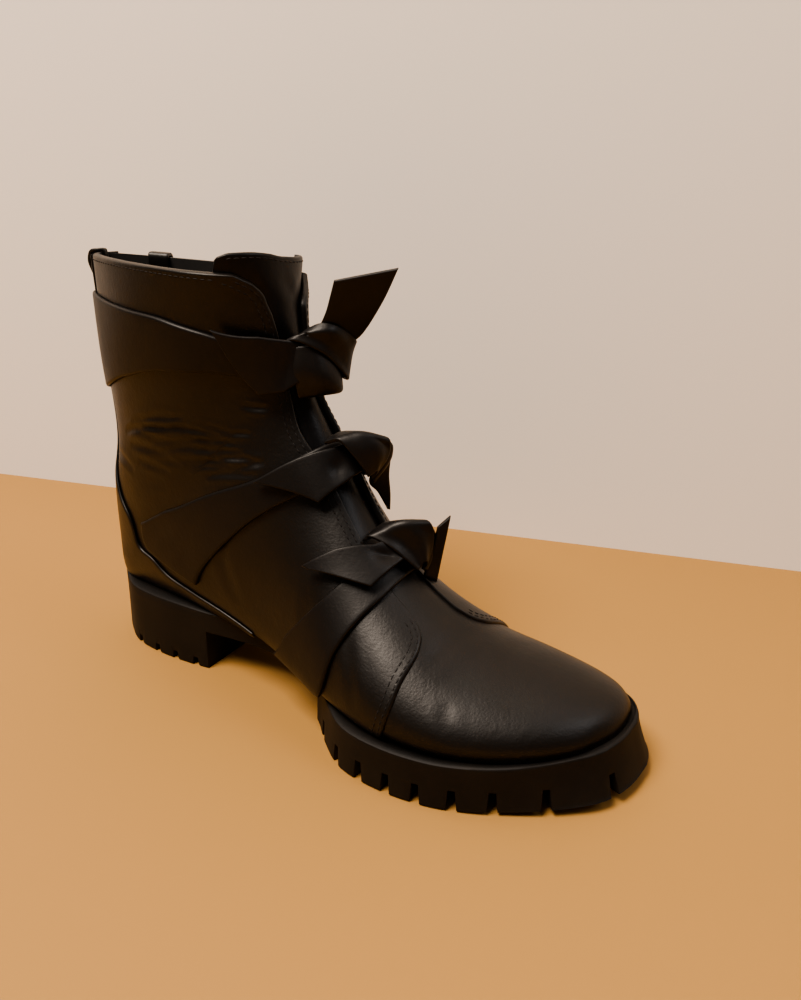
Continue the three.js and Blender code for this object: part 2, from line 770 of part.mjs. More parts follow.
// Tails of the knots: rows of an upper and a lower edge from inside the knot to the cut end. Each edge
// is a station, a turn and a height over the last as a share of the ball's width.
const TAILS = {
  ankle: [
    [
      [14.3, 0, 0.1, 13.1, -2, 0.1],
      [14.95, -14, 0.08, 13.1, -22, 0.08],
      [15.79, -32, 0.074, 13.64, -34, 0.074],
      [16.61, -57, 0.074, 16.4, -54, 0.074],
    ],
    [
      [14.9, 0, 0.12, 13.7, 2, 0.2],
      [15.65, -4, 0.19, 14.5, 2, 0.32],
      [17.27, -4, 0.297, 15.4, 3, 0.42],
      [17.7, 3, 0.52, 17.79, 4, 0.576],
    ],
  ],
  instep: [
    [
      [10.4, 5, 0.1, 9.7, 5, 0.1],
      [10.55, -12, 0.078, 9.7, -16, 0.078],
      [10.87, -28, 0.074, 9.77, -32, 0.074],
      [11.27, -50, 0.074, 11.1, -48, 0.074],
    ],
    [
      [10.2, -2, 0.14, 9.7, -2, 0.1],
      [10.05, 5, 0.18, 9.45, 7, 0.09],
      [9.75, 14, 0.19, 8.95, 24, 0.075],
      [9.54, 45, 0.11, 9.4, 43, 0.1],
    ],
  ],
  vamp: [
    [
      [8.2, 2, 0.1, 7.8, 2, 0.1],
      [8.43, -18, 0.075, 7.85, -10, 0.078],
      [8.89, -36, 0.075, 7.93, -31, 0.075],
      [9.26, -54, 0.075, 9.1, -52, 0.075],
    ],
    [
      [8.1, -2, 0.15, 7.75, -2, 0.1],
      [8.04, 10, 0.2, 7.6, 14, 0.09],
      [7.92, 18, 0.3, 7.4, 29, 0.085],
      [7.7, 34, 0.22, 7.46, 49, 0.08],
    ],
  ],
};

function makeTail(rows) {
  const edge = ([station, turn, out]) => place(skin(station, turn, out * BALL_WIDTH));
  const grid = [];
  for (let i = 0; i + 1 < rows.length; i += 1) {
    grid.push(rows[i], rows[i].map((v, k) => (v + rows[i + 1][k]) / 2));
  }
  grid.push(rows[rows.length - 1]);
  const middle = grid.map((row) => {
    const [up, low] = [edge(row.slice(0, 3)), edge(row.slice(3))];
    return [up, up.clone().lerp(low, 0.5), low];
  });
  const faces = [1, -1].map((side) =>
    middle.map((row, i) => {
      const ahead = middle[Math.min(i + 1, middle.length - 1)][1];
      const behind = middle[Math.max(i - 1, 0)][1];
      const out = ahead.clone().sub(behind).cross(row[2].clone().sub(row[0])).normalize();
      return row.map((p) => p.clone().addScaledVector(out, (side * STRAP_THICKNESS) / 2));
    }),
  );
  const sheet = sheetFrom(faces.flat(2), middle.length, 3);
  return sheet.volume() > 0 ? sheet : sheetFrom([...faces].reverse().flat(2), middle.length, 3);
}

function makeTiedKnot(name, strap) {
  const under = STRAP_UNDER + STRAP_THICKNESS + GAP;
  const tied = TAILS[name].reduce((solid, rows) => solid.add(makeTail(rows)), makeKnot(KNOTS[name]));
  return tied.subtract(overUpper(under)).subtract(strapPatch(strap, 0, under, EDGE_ROOM));
}

// Tabs folded over the collar: height over the collar and distance from the wall of their outer and
// inner faces, from the outside over the top to the inside. The distances count from the wall's face
// outside in the first three rows and from its face inside in the others.
const TAB_THICKNESS = 1.5;
const TABS = {
  pull_loop: { turns: [173, 176, 180, -176, -173], wall: QUARTER_STEP + GAP + COUNTER_THICKNESS, drop: 10 },
  guard_tab: { turns: [138, 141, 144, 147], wall: QUARTER_STEP, drop: 7 },
};

function stationOverCollar(turn, up) {
  let [low, high] = [LAST_SECTION - 3, LAST_SECTION];
  for (let i = 0; i < 30; i += 1) {
    const middle = (low + high) / 2;
    const point = surfacePoint(middle, turn);
    if (point.z < collarAt(point) + up) low = middle;
    else high = middle;
  }
  return (low + high) / 2;
}

function makeTab({ turns, wall, drop }) {
  const outside = wall + GAP;
  const inside = -WALL - GAP;
  const faces = [
    [
      [-drop, outside + TAB_THICKNESS],
      [-drop * 0.4, outside + TAB_THICKNESS + 1.6],
      [GAP + TAB_THICKNESS * 0.8, outside + TAB_THICKNESS * 0.7],
      [GAP + TAB_THICKNESS, (outside + inside) / 2],
      [GAP + TAB_THICKNESS * 0.8, inside - TAB_THICKNESS * 0.7],
      [-drop, inside - TAB_THICKNESS],
    ],
    [
      [-drop, outside],
      [-drop * 0.4, outside + 1.2],
      [GAP, outside],
      [GAP, (outside + inside) / 2],
      [GAP, inside],
      [-drop, inside],
    ],
  ];
  const points = faces.flatMap((rows) =>
    rows.flatMap(([up, out]) => {
      return turns.map((turn) => place(skin(stationOverCollar(turn, up), turn, out)));
    }),
  );
  const wallRoom = overUpper(outside).subtract(form(inside)).subtract(aboveCollar(GAP));
  return sheetFrom(points, faces[0].length, turns.length).subtract(wallRoom);
}

const group = new THREE.Group();

function addNode(name, solid, material) {
  const mesh = solid.getMesh();
  const positions = new Float32Array(mesh.numVert * 3);
  for (let i = 0; i < mesh.numVert; i += 1) {
    positions.set(mesh.vertProperties.subarray(i * mesh.numProp, i * mesh.numProp + 3), i * 3);
  }
  const geometry = new THREE.BufferGeometry();
  geometry.setAttribute("position", new THREE.BufferAttribute(positions, 3));
  geometry.setIndex(new THREE.BufferAttribute(new Uint32Array(mesh.triVerts), 1));
  geometry.computeVertexNormals();
  const node = new THREE.Mesh(geometry, material);
  node.name = name;
  group.add(node);
}

const leather = new THREE.MeshStandardMaterial({ color: 0x1b1716, roughness: 0.45, metalness: 0 });

const rubber = new THREE.MeshStandardMaterial({ color: 0x151514, roughness: 0.8, metalness: 0 });
const lining = new THREE.MeshStandardMaterial({ color: 0x2a2421, roughness: 0.85, metalness: 0 });

addNode("outsole", makeOutsole(), rubber);
addNode("insole", makeInsole(), lining);
addNode("upper", makeUpper(), leather);
addNode("tongue", makeTongue(), leather);
addNode("heel_counter", makeCounter(), leather);
addNode("ankle_strap", makeStrap(ANKLE_STRAP), leather);
addNode("instep_strap", makeStrap(INSTEP_STRAP), leather);
addNode("vamp_strap", makeStrap(VAMP_STRAP), leather);
addNode("ankle_knot", makeTiedKnot("ankle", ANKLE_STRAP), leather);
addNode("instep_knot", makeTiedKnot("instep", INSTEP_STRAP), leather);
addNode("vamp_knot", makeTiedKnot("vamp", VAMP_STRAP), leather);
addNode("pull_loop", makeTab(TABS.pull_loop), leather);
addNode("guard_tab", makeTab(TABS.guard_tab), leather);

export default group;
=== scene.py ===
"""Black leather ankle boot with three knotted straps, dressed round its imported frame. Metres, +Z up."""
import math

import bmesh
import bpy
import numpy as np
from mathutils import Matrix, Vector


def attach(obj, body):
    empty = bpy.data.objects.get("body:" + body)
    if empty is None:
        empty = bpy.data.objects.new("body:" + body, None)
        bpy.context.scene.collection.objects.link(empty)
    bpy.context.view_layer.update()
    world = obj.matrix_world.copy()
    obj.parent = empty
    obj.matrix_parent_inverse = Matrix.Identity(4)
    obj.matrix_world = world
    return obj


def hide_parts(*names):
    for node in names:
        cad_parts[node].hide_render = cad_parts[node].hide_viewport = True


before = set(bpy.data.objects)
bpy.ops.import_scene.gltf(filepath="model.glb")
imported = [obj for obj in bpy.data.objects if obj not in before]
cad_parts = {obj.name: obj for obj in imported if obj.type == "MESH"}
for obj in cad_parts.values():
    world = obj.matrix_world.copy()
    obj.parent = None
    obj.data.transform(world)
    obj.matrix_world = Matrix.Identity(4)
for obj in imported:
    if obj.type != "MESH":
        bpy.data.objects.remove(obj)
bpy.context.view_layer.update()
bpy.ops.object.select_all(action="DESELECT")

MM = 0.001
DEGREE = math.pi / 180
# Halvings when a place on the last is searched for
HALVINGS = 26

# Sizes of the last and the shoe in millimetres, as in the frame
LAST_LENGTH = 270.0
BALL_WIDTH = 86.0
UPPER_RISE = 161.0
HEEL_HEIGHT = 31.0
FOREPART_HEIGHT = 18.5
TOE_RISE = 4.0
HEEL_BACK = 36.0
WALL = 1.8
QUARTER_STEP = 1.2
COUNTER_THICKNESS = 1.3
STRAP_THICKNESS = 1.9
TONGUE_THICKNESS = 1.6
GAP = 0.3
SOLE_LIP = 1.5
SOLE_FLARE = 1.5
TOE_FLARE = 4.2
TREAD_TOE_RISE = 5.5
COLLAR = HEEL_HEIGHT + UPPER_RISE
# Fall of the collar to the medial side and towards the front, for each millimetre
COLLAR_LEAN = 0.1
COLLAR_FALL = 0.04


def smooth(v):
    c = np.clip(v, 0, 1)
    return c * c * (3 - 2 * c)


# Height of the sole's top over the floor, at a distance forward of the heel's back
SEAT_END = 0.167
BALL_START = 0.685
RISE_START = 0.76


def sole_top(forward):
    share = np.asarray(forward) / LAST_LENGTH
    fall = 1 - smooth((share - SEAT_END) / (BALL_START - SEAT_END))
    rise = np.clip((share - RISE_START) / (1 - RISE_START), 0, 1.3)
    return FOREPART_HEIGHT + (HEEL_HEIGHT - FOREPART_HEIGHT) * fall + TOE_RISE * rise * rise


# Sections of the last from the toe to over the collar, as shares of its length, rise and ball width:
# front, rise, back, drop, lateral, medial, ridge, keel, widest, crown, base
SECTIONS = np.array([
    [0.999, 0.01, 0.999, -0.025, 0.0, 0.0, 0.058, 0.058, 0.6, 2.0, 2.6],
    [0.995, 0.036, 0.995, -0.025, 0.105, 0.105, 0.058, 0.058, 0.6, 2.0, 2.8],
    [0.981, 0.064, 0.981, -0.025, 0.198, 0.18, 0.047, 0.047, 0.61, 2.0, 3.0],
    [0.956, 0.088, 0.956, -0.025, 0.29, 0.265, 0.02, 0.023, 0.62, 1.95, 3.2],
    [0.911, 0.115, 0.911, -0.025, 0.378, 0.35, -0.015, -0.012, 0.64, 1.9, 3.3],
    [0.844, 0.148, 0.844, -0.025, 0.465, 0.41, -0.04, -0.047, 0.66, 1.85, 3.3],
    [0.767, 0.193, 0.767, -0.025, 0.506, 0.43, -0.07, -0.081, 0.68, 1.8, 3.2],
    [0.693, 0.262, 0.678, -0.025, 0.505, 0.415, -0.08, -0.093, 0.7, 1.8, 3.0],
    [0.622, 0.35, 0.585, -0.025, 0.455, 0.38, -0.06, -0.081, 0.72, 1.85, 2.9],
    [0.565, 0.455, 0.481, -0.025, 0.39, 0.345, -0.03, -0.047, 0.72, 1.9, 2.9],
    [0.522, 0.552, 0.363, -0.025, 0.35, 0.335, 0.0, -0.012, 0.7, 1.95, 2.9],
    [0.491, 0.637, 0.22, -0.025, 0.335, 0.335, 0.0, 0.0, 0.67, 2.0, 2.9],
    [0.469, 0.704, 0.09, -0.025, 0.318, 0.318, 0.0, 0.0, 0.62, 2.0, 2.8],
    [0.456, 0.76, 0.02, -0.02, 0.308, 0.308, 0.0, 0.0, 0.58, 2.0, 2.6],
    [0.445, 0.819, 0.014, 0.115, 0.315, 0.315, 0.0, 0.0, 0.54, 2.0, 2.45],
    [0.439, 0.873, 0.02, 0.29, 0.33, 0.33, 0.0, 0.0, 0.5, 2.05, 2.3],
    [0.435, 0.927, 0.036, 0.47, 0.345, 0.345, 0.0, 0.0, 0.46, 2.1, 2.1],
    [0.431, 0.983, 0.02, 0.727, 0.362, 0.362, 0.0, 0.0, 0.38, 2.15, 1.85],
    [0.428, 1.041, 0.01, 1.003, 0.375, 0.375, 0.0, 0.0, 0.28, 2.2, 1.6],
    [0.425, 1.161, 0.006, 1.21, 0.375, 0.375, 0.0, 0.0, 0.24, 2.2, 1.5],
])
LAST_SECTION = len(SECTIONS) - 1


def through(table, at):
    """Smooth values of a table's columns at places along its rows."""
    table = np.asarray(table, float)
    at = np.asarray(at, float)
    end = len(table) - 1
    k = np.clip(np.floor(at).astype(int), 0, end - 1)
    f = (at - k)[..., None]
    b, c = table[k], table[k + 1]
    before = np.where((k == 0)[..., None], c - b, (c - table[np.maximum(k - 1, 0)]) / 2)
    after = np.where((k == end - 1)[..., None], c - b, (table[np.minimum(k + 2, end)] - b) / 2)
    f2, f3 = f * f, f * f * f
    near = (2 * f3 - 3 * f2 + 1) * b + (f3 - 2 * f2 + f) * before
    return near + (3 * f2 - 2 * f3) * c + (f3 - f2) * after


def last_point(station, turn):
    """Points of the last in the part's frame. The turn is 0 on the top line, 180 on the bottom or
    back line, negative on the lateral and positive on the medial side."""
    station, turn = np.broadcast_arrays(np.asarray(station, float), np.asarray(turn, float))
    front, rise, back, drop, lateral, medial, ridge, keel, widest, crown, base = np.moveaxis(
        through(SECTIONS, station), -1, 0)
    top, bottom = front * LAST_LENGTH, back * LAST_LENGTH
    top_up = sole_top(top) + rise * UPPER_RISE
    bottom_up = sole_top(bottom) + drop * UPPER_RISE
    angle = np.abs(turn) * DEGREE
    upper = angle <= math.pi / 2
    power = 2 / np.where(upper, crown, base)
    reach = np.abs(np.cos(angle)) ** power
    spread = np.abs(np.sin(angle)) ** power
    along = np.where(upper, widest * (1 - reach), widest + (1 - widest) * reach)
    half = np.where(turn < 0, -lateral, medial) * BALL_WIDTH
    x = (ridge + (keel - ridge) * along) * BALL_WIDTH + half * spread
    y = HEEL_BACK - (top + (bottom - top) * along)
    z = top_up + (bottom_up - top_up) * along
    return np.stack([x, y, z], -1)


def last_normal(station, turn):
    """Unit normals of the last, outwards, with the two sides shared on its middle lines."""
    station, turn = np.broadcast_arrays(np.asarray(station, float), np.asarray(turn, float))
    total = np.zeros(station.shape + (3,))
    s = np.clip(station, 0.05, LAST_SECTION - 0.05)
    shared = (np.abs(turn) < 0.01) | (np.abs(turn) > 179.99) | (station < 0.01)
    for side in (-1, 1):
        t = np.clip(np.abs(turn), 1.8, 178.2) * side
        by_station = last_point(s + 0.05, t) - last_point(s - 0.05, t)
        by_turn = last_point(s, t + 1.5) - last_point(s, t - 1.5)
        normal = np.cross(by_turn, by_station)
        normal /= np.linalg.norm(normal, axis=-1, keepdims=True)
        counts = shared | (np.sign(turn) == side)
        total += normal * counts[..., None]
    return total / np.linalg.norm(total, axis=-1, keepdims=True)


def skin(station, turn, out):
    """Points over the last at a distance outwards, in millimetres."""
    return last_point(station, turn) + last_normal(station, turn) * np.asarray(out, float)[..., None]


# Materials

def srgb(code):
    """Linear colour of an sRGB hex value such as #1c1917."""
    values = [int(code[i:i + 2], 16) / 255 for i in (1, 3, 5)]
    return [v / 12.92 if v <= 0.04045 else ((v + 0.055) / 1.055) ** 2.4 for v in values] + [1.0]


def node(material, kind, links=None, **settings):
    """Adds a shader node, sets its sockets and properties, and links sockets from other nodes."""
    tree = material.node_tree
    made = tree.nodes.new(kind)
    for name, value in settings.items():
        if hasattr(made, name):
            setattr(made, name, value)
        else:
            made.inputs[name.replace("_", " ")].default_value = value
    for socket, source in (links or {}).items():
        tree.links.new(source, made.inputs[socket])
    return made


def blank(name, roughness, **settings):
    """A material with its one shader, and the node that gives Object coordinates."""
    material = bpy.data.materials.new(name)
    material.use_nodes = True
    shader = material.node_tree.nodes["Principled BSDF"]
    shader.inputs["Roughness"].default_value = roughness
    for socket, value in settings.items():
        shader.inputs[socket.replace("_", " ")].default_value = value
    coordinates = node(material, "ShaderNodeTexCoord").outputs["Object"]
    return material, shader, coordinates


def ramp(material, source, low, high, dark, light):
    """Two colours mixed between two values of a pattern."""
    made = node(material, "ShaderNodeValToRGB", {"Fac": source})
    made.color_ramp.elements[0].position = low
    made.color_ramp.elements[0].color = dark
    made.color_ramp.elements[1].position = high
    made.color_ramp.elements[1].color = light
    return made.outputs["Color"]


def noise(material, coordinates, size, detail, roughness=0.5):
    """Values of a noise whose features are about a size in millimetres."""
    return node(material, "ShaderNodeTexNoise", {"Vector": coordinates}, Scale=1 / (size * MM), Detail=detail,
                Roughness=roughness).outputs["Fac"]


def bumped(material, height, strength, distance, normal=None):
    """Normals bumped by a pattern, over others where they are given. The distance is in millimetres."""
    links = {"Height": height}
    if normal is not None:
        links["Normal"] = normal
    return node(material, "ShaderNodeBump", links, Strength=strength, Distance=distance * MM).outputs["Normal"]


GRAIN_SIZE = 0.9
PORE_SIZE = 2.4
BLOOM_SIZE = 38.0


def calf_leather(name, base, lit, roughness, grain, shine):
    """Drum-dyed calf leather, lightly waxed: fine pebbled grain, soft sheen, patchy where it was rubbed."""
    material, shader, coordinates = blank(name, roughness, Coat_Weight=0.1, Coat_Roughness=0.3,
                                          Specular_IOR_Level=shine)
    link = material.node_tree.links.new
    bloom = noise(material, coordinates, BLOOM_SIZE, 4.0, 0.6)
    link(ramp(material, bloom, 0.35, 0.68, srgb(base), srgb(lit)), shader.inputs["Base Color"])
    rubbed = node(material, "ShaderNodeMapRange", {"Value": bloom}, From_Min=0.3, From_Max=0.7,
                  To_Min=roughness + 0.07, To_Max=roughness - 0.06)
    link(rubbed.outputs["Result"], shader.inputs["Roughness"])
    cells = node(material, "ShaderNodeTexVoronoi", {"Vector": coordinates}, Scale=1 / (GRAIN_SIZE * MM),
                 feature="SMOOTH_F1")
    pores = noise(material, coordinates, PORE_SIZE, 5.0, 0.62)
    fine = bumped(material, cells.outputs["Distance"], grain, 0.12)
    link(bumped(material, pores, grain * 1.2, 0.35, fine), shader.inputs["Normal"])
    return material


def moulded_rubber(name, base, lit):
    """Moulded sole rubber: matt, slightly chalky where it is worn, with a very fine mould texture."""
    material, shader, coordinates = blank(name, 0.62, Specular_IOR_Level=0.3)
    link = material.node_tree.links.new
    wear = noise(material, coordinates, 22, 6.0, 0.65)
    link(ramp(material, wear, 0.4, 0.72, srgb(base), srgb(lit)), shader.inputs["Base Color"])
    link(bumped(material, noise(material, coordinates, 0.8, 3.0), 0.25, 0.15), shader.inputs["Normal"])
    return material


def lining_cloth(name, base, lit):
    """Brushed lining: matt, with a soft nap."""
    material, shader, coordinates = blank(name, 0.88, Sheen_Weight=0.15)
    link = material.node_tree.links.new
    nap = noise(material, coordinates, 1.6, 4.0)
    link(ramp(material, nap, 0.3, 0.7, srgb(base), srgb(lit)), shader.inputs["Base Color"])
    link(bumped(material, nap, 0.3, 0.2), shader.inputs["Normal"])
    return material


def plain(name, colour, roughness, **settings):
    """One colour all over."""
    material, shader, _ = blank(name, roughness, **settings)
    shader.inputs["Base Color"].default_value = srgb(colour)
    return material


UPPER_LEATHER = calf_leather("black_calf_leather", "#070504", "#0e0a07", 0.42, 0.32, 0.36)
STRAP_LEATHER = calf_leather("black_strap_leather", "#080606", "#0f0c0b", 0.48, 0.24, 0.28)
TONGUE_LEATHER = calf_leather("black_tongue_leather", "#050405", "#0a0809", 0.42, 0.2, 0.24)
RUBBER = moulded_rubber("black_moulded_rubber", "#090706", "#15110e")
LINING = lining_cloth("dark_brushed_lining", "#0a0807", "#120e0c")
THREAD = plain("black_waxed_thread", "#161313", 0.62, Specular_IOR_Level=0.3)


# Meshes from grids

def spaced(length, step, edge):
    """Shares from 0 to 1 along a length in millimetres, close together within an edge's rounding."""
    close = [share * edge / length for share in (0, 0.08, 0.3, 0.65)]
    inner = np.linspace(edge / length, 1 - edge / length, max(2, round((length - 2 * edge) / step)))
    return np.concatenate([close, inner, [1 - share for share in reversed(close)]])


def reach(points, axis):
    """Distances in millimetres along a grid's lines, from their starts."""
    steps = np.linalg.norm(np.diff(points, axis=axis), axis=-1)
    start = np.zeros_like(np.take(steps, [0], axis=axis))
    return np.concatenate([start, np.cumsum(steps, axis=axis)], axis=axis)


def edge_share(points, edge, rounded):
    """How far the rounding of the edges is through, from 0 at an edge to 1, for each point."""
    down, across = reach(points, 0), reach(points, 1)
    ends = [down, np.take(down, [-1], 0) - down, across, np.take(across, [-1], 1) - across]
    nearest = np.full(points.shape[:2], edge * 1.0)
    for distance, counts in zip(ends, rounded):
        if counts:
            nearest = np.minimum(nearest, distance)
    t = np.clip(nearest / edge, 0, 1)
    return np.sqrt(np.maximum(0, 1 - (1 - t) ** 2))


def object_from(name, points, faces, material, inside=None, inside_faces=()):
    """A smooth mesh object in metres, with doubles merged. Some faces may have a second material."""
    mesh = bpy.data.meshes.new(name)
    mesh.from_pydata([tuple(p) for p in np.asarray(points) * MM], [], faces)
    made = bpy.data.objects.new(name, mesh)
    bpy.context.scene.collection.objects.link(made)
    mesh.materials.append(material)
    if inside:
        mesh.materials.append(inside)
        for index in inside_faces:
            mesh.polygons[index].material_index = 1
    work = bmesh.new()
    work.from_mesh(mesh)
    bmesh.ops.remove_doubles(work, verts=work.verts, dist=0.01 * MM)
    bmesh.ops.dissolve_degenerate(work, edges=work.edges, dist=0.005 * MM)
    bmesh.ops.recalc_face_normals(work, faces=work.faces)
    for face in work.faces:
        face.smooth = True
    work.to_mesh(mesh)
    work.free()
    return made


def grid_faces(height, width, offset, turned):
    faces = []
    for i in range(height - 1):
        for j in range(width - 1):
            a = offset + i * width + j
            quad = (a, a + 1, a + width + 1, a + width)
            faces.append(quad[::-1] if turned else quad)
    return faces


def shell(name, outer, inner, material, inside=None):
    """A closed sheet between two grids of points. The inner face may have a material of its own."""
    height, width = outer.shape[:2]
    count = height * width
    points = np.concatenate([outer.reshape(-1, 3), inner.reshape(-1, 3)])
    front = grid_faces(height, width, 0, False)
    back = grid_faces(height, width, count, True)
    rim = list(range(width))
    rim += [i * width + width - 1 for i in range(1, height)]
    rim += [(height - 1) * width + j for j in range(width - 2, -1, -1)]
    rim += [i * width for i in range(height - 2, 0, -1)]
    around = [(b, a, a + count, b + count) for a, b in zip(rim, rim[1:] + rim[:1])]
    return object_from(name, points, front + back + around, material, inside,
                       range(len(front), len(front) + len(back)))


PANEL_EDGE = 1.2


def panel(name, station, turn, inner, outer, material, inside=None, rounded=(1, 1, 1, 1), relief=None):
    """A leather panel on the last over grids of stations and turns, with rounded edges."""
    base = last_point(station, turn)
    normal = last_normal(station, turn)
    share = edge_share(base, PANEL_EDGE, rounded)
    out = inner + (outer - inner) * (0.35 + 0.65 * share)
    if relief is not None:
        out = out + relief(base) * share
    level = (inner * np.ones_like(out))[..., None]
    return shell(name, base + normal * out[..., None], base + normal * level, material, inside)


# Edges of the panels, as on the frame: turn or station against the other
THROAT = np.array([
    [7.9, -20, 12], [8.6, -19, 12], [9.4, -19, 12], [10.4, -20, 12], [11.4, -22, 13], [12.4, -20, 13],
    [13.6, -19, 13], [15.2, -18, 13], [16.2, -20, 14], [16.6, -22, 20], [17.0, -24, 32], [17.5, -31, 46],
    [17.8, -42, 56], [18.0, -56, 64],
])
LATERAL_FRONT = np.array([
    [18, 7.48], [22, 6.93], [27, 6.7], [37, 6.6], [55, 6.62], [74, 6.64], [113, 6.77], [180, 6.9],
])
MEDIAL_FRONT = np.array([
    [11, 7.2], [12, 6.6], [16, 6.25], [24, 6.05], [36, 5.97], [55, 5.95], [75, 6.0], [113, 6.2], [180, 6.9],
])


def eased(table, x, column=1):
    """Smooth value of a table's column where its first column has the value x."""
    return through(table[:, [column]], np.interp(x, table[:, 0], np.arange(len(table))))[..., 0]


def sole_turn(side, height):
    """Table of station and turn where a side of the last comes down to a height over the sole's top."""
    station = np.linspace(0, LAST_SECTION, 381)
    low = np.full(station.shape, 60.0)
    high = np.full(station.shape, 180.0)
    for _ in range(HALVINGS):
        middle = (low + high) / 2
        point = last_point(station, middle * side)
        under = point[:, 2] < sole_top(HEEL_BACK - point[:, 1]) + height
        high = np.where(under, middle, high)
        low = np.where(under, low, middle)
    return np.stack([station, np.where(high > 179.9, 180.0, high)], 1)


WALL_FOOT = {side: sole_turn(side, GAP) for side in (-1, 1)}
OVER_LIP = {side: sole_turn(side, SOLE_LIP + GAP) for side in (-1, 1)}


def station_where(turn, height):
    """Station of the leg where the last's points are at a height that is given as a function of them."""
    low = np.full(np.shape(turn), 7.0)
    high = np.full(np.shape(turn), LAST_SECTION * 1.0)
    for _ in range(HALVINGS):
        middle = (low + high) / 2
        point = last_point(middle, turn)
        under = point[..., 2] < height(point)
        low = np.where(under, middle, low)
        high = np.where(under, high, middle)
    return (low + high) / 2


def over_collar(turn, up):
    """Station at a height over the collar."""
    return station_where(turn, lambda p: COLLAR - COLLAR_LEAN * p[..., 0]
                         - COLLAR_FALL * (HEEL_BACK - p[..., 1]) + up)


PIECES = []


def dress(piece, name):
    """Puts a piece on the body in place of its node."""
    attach(piece, "root")
    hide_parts(name)
    PIECES.append(piece)
    return piece


def crease_relief(rows, level_rows=()):
    """Soft troughs with a low ridge beside them. A row holds the start and the end as station and turn,
    the bow of the line, the half width and the depth in millimetres. Level rows have heights over the
    floor in place of stations."""
    def relief(base):
        total = np.zeros(base.shape[:2])
        share = np.linspace(0, 1, 15)
        for row in list(rows) + list(level_rows):
            start, start_turn, end, end_turn, bow, width, depth = row
            place = start + (end - start) * share + bow * np.sin(math.pi * share)
            turn = start_turn + (end_turn - start_turn) * share
            if row in level_rows:
                place = station_where(turn, lambda p: place)
            line = last_point(place, turn)
            nearest = np.full(base.shape[:2], 1e9)
            place = np.zeros(base.shape[:2])
            for k in range(14):
                step = line[k + 1] - line[k]
                f = np.clip(((base - line[k]) @ step) / (step @ step), 0, 1)
                gap = np.linalg.norm(base - line[k] - f[..., None] * step, axis=-1)
                place = np.where(gap < nearest, (k + f) / 14, place)
                nearest = np.minimum(nearest, gap)
            fade = np.sqrt(np.maximum(0, np.sin(math.pi * place)))
            r = nearest / width
            total += depth * fade * (0.45 * np.exp(-(r - 1.9) ** 2 / 0.8) - np.exp(-r * r))
        return total
    return relief


# Vamp, from the toe to under the quarters and the tongue
VAMP_BACK = np.array([[0, 8.0], [11, 8.0], [19, 7.7], [26, 7.3], [40, 7.2], [180, 7.3]])


def make_vamp():
    share, across = np.meshgrid(np.linspace(0, 1, 91), np.linspace(-1, 1, 171), indexing="ij")
    side = np.where(across < 0, -1, 1)
    station = np.zeros(share.shape)
    for _ in range(4):
        limit = np.where(side < 0, np.interp(station, *WALL_FOOT[-1].T),
                         np.interp(station, *WALL_FOOT[1].T))
        turn = across * limit
        station = np.interp(np.abs(turn), VAMP_BACK[:, 0], VAMP_BACK[:, 1]) * share
    return panel("vamp", station, turn, -WALL, 0.0, UPPER_LEATHER, LINING, (0, 0, 0, 0),
                 relief=crease_relief(VAMP_CREASES))


# Creases: start station and turn, end station and turn, bow, half width, depth
VAMP_CREASES = [
    [6.35, -40, 5.9, 10, 0.12, 3.2, 0.25],
    [5.4, -84, 5.75, -50, 0.1, 2.6, 0.25],
    [5.2, -20, 5.1, 32, 0.1, 3.4, 0.18],
]
LATERAL_CREASES = [
    [11.4, -66, 10.2, -96, 0.2, 3.2, 0.4],
    [9.0, -60, 8.2, -100, 0.15, 3.0, 0.35],
    [8.0, -52, 7.3, -92, -0.1, 2.4, 0.3],
]
# Fine wrinkles at the bend of the ankle. These are level rows: heights over the floor, not stations
FINE_CREASES = [
    [122.0, -114, 129.5, -76, 1.0, 1.3, 0.73], [115.5, -122, 123.5, -85, 1.5, 1.4, 0.88],
    [123.5, -85, 121.5, -56, 1.2, 1.2, 0.81], [116.0, -97, 119.5, -66, -1.0, 1.3, 0.88],
    [112.0, -90, 116.0, -60, 1.0, 1.3, 0.81], [108.0, -80, 111.0, -59, -0.8, 1.2, 0.73],
    [111.0, -60, 112.5, -46, 0.8, 1.2, 0.7], [105.0, -76, 107.5, -57, 0.6, 1.2, 0.7],
    [107.5, -58, 113.0, -44, -0.5, 1.3, 0.7], [121.5, -104, 126.5, -72, -1.0, 1.0, 0.56],
    [126.5, -72, 123.5, -52, 0.8, 1.1, 0.63], [119.5, -68, 118.5, -52, 0.6, 1.1, 0.63],
    [110.0, -114, 109.5, -84, 1.4, 1.6, 0.73], [116.0, -61, 115.0, -49, -0.4, 1.0, 0.56],
    [102.5, -67, 107.0, -50, 0.5, 1.4, 0.63], [136.5, -46, 135.0, -33, -0.5, 1.2, 0.63],
    [123.0, -53, 123.5, -44, 0.3, 1.0, 0.53], [103.0, -106, 101.5, -86, 0.8, 1.5, 0.6],
    [101.5, -142, 98.0, -110, 1.4, 2.0, 0.63], [118.5, -110, 118.0, -92, -0.4, 1.0, 0.53],
    [113.5, -104, 114.0, -86, 0.4, 1.0, 0.56], [120.5, -76, 118.0, -60, 0.4, 0.9, 0.53],
    [113.8, -72, 113.5, -56, 0.4, 0.9, 0.53], [109.5, -70, 109.0, -56, 0.3, 0.9, 0.49],
    [127.5, -100, 131.0, -84, 0.4, 1.1, 0.46], [106.5, -96, 106.0, -78, 0.5, 1.2, 0.53],
]
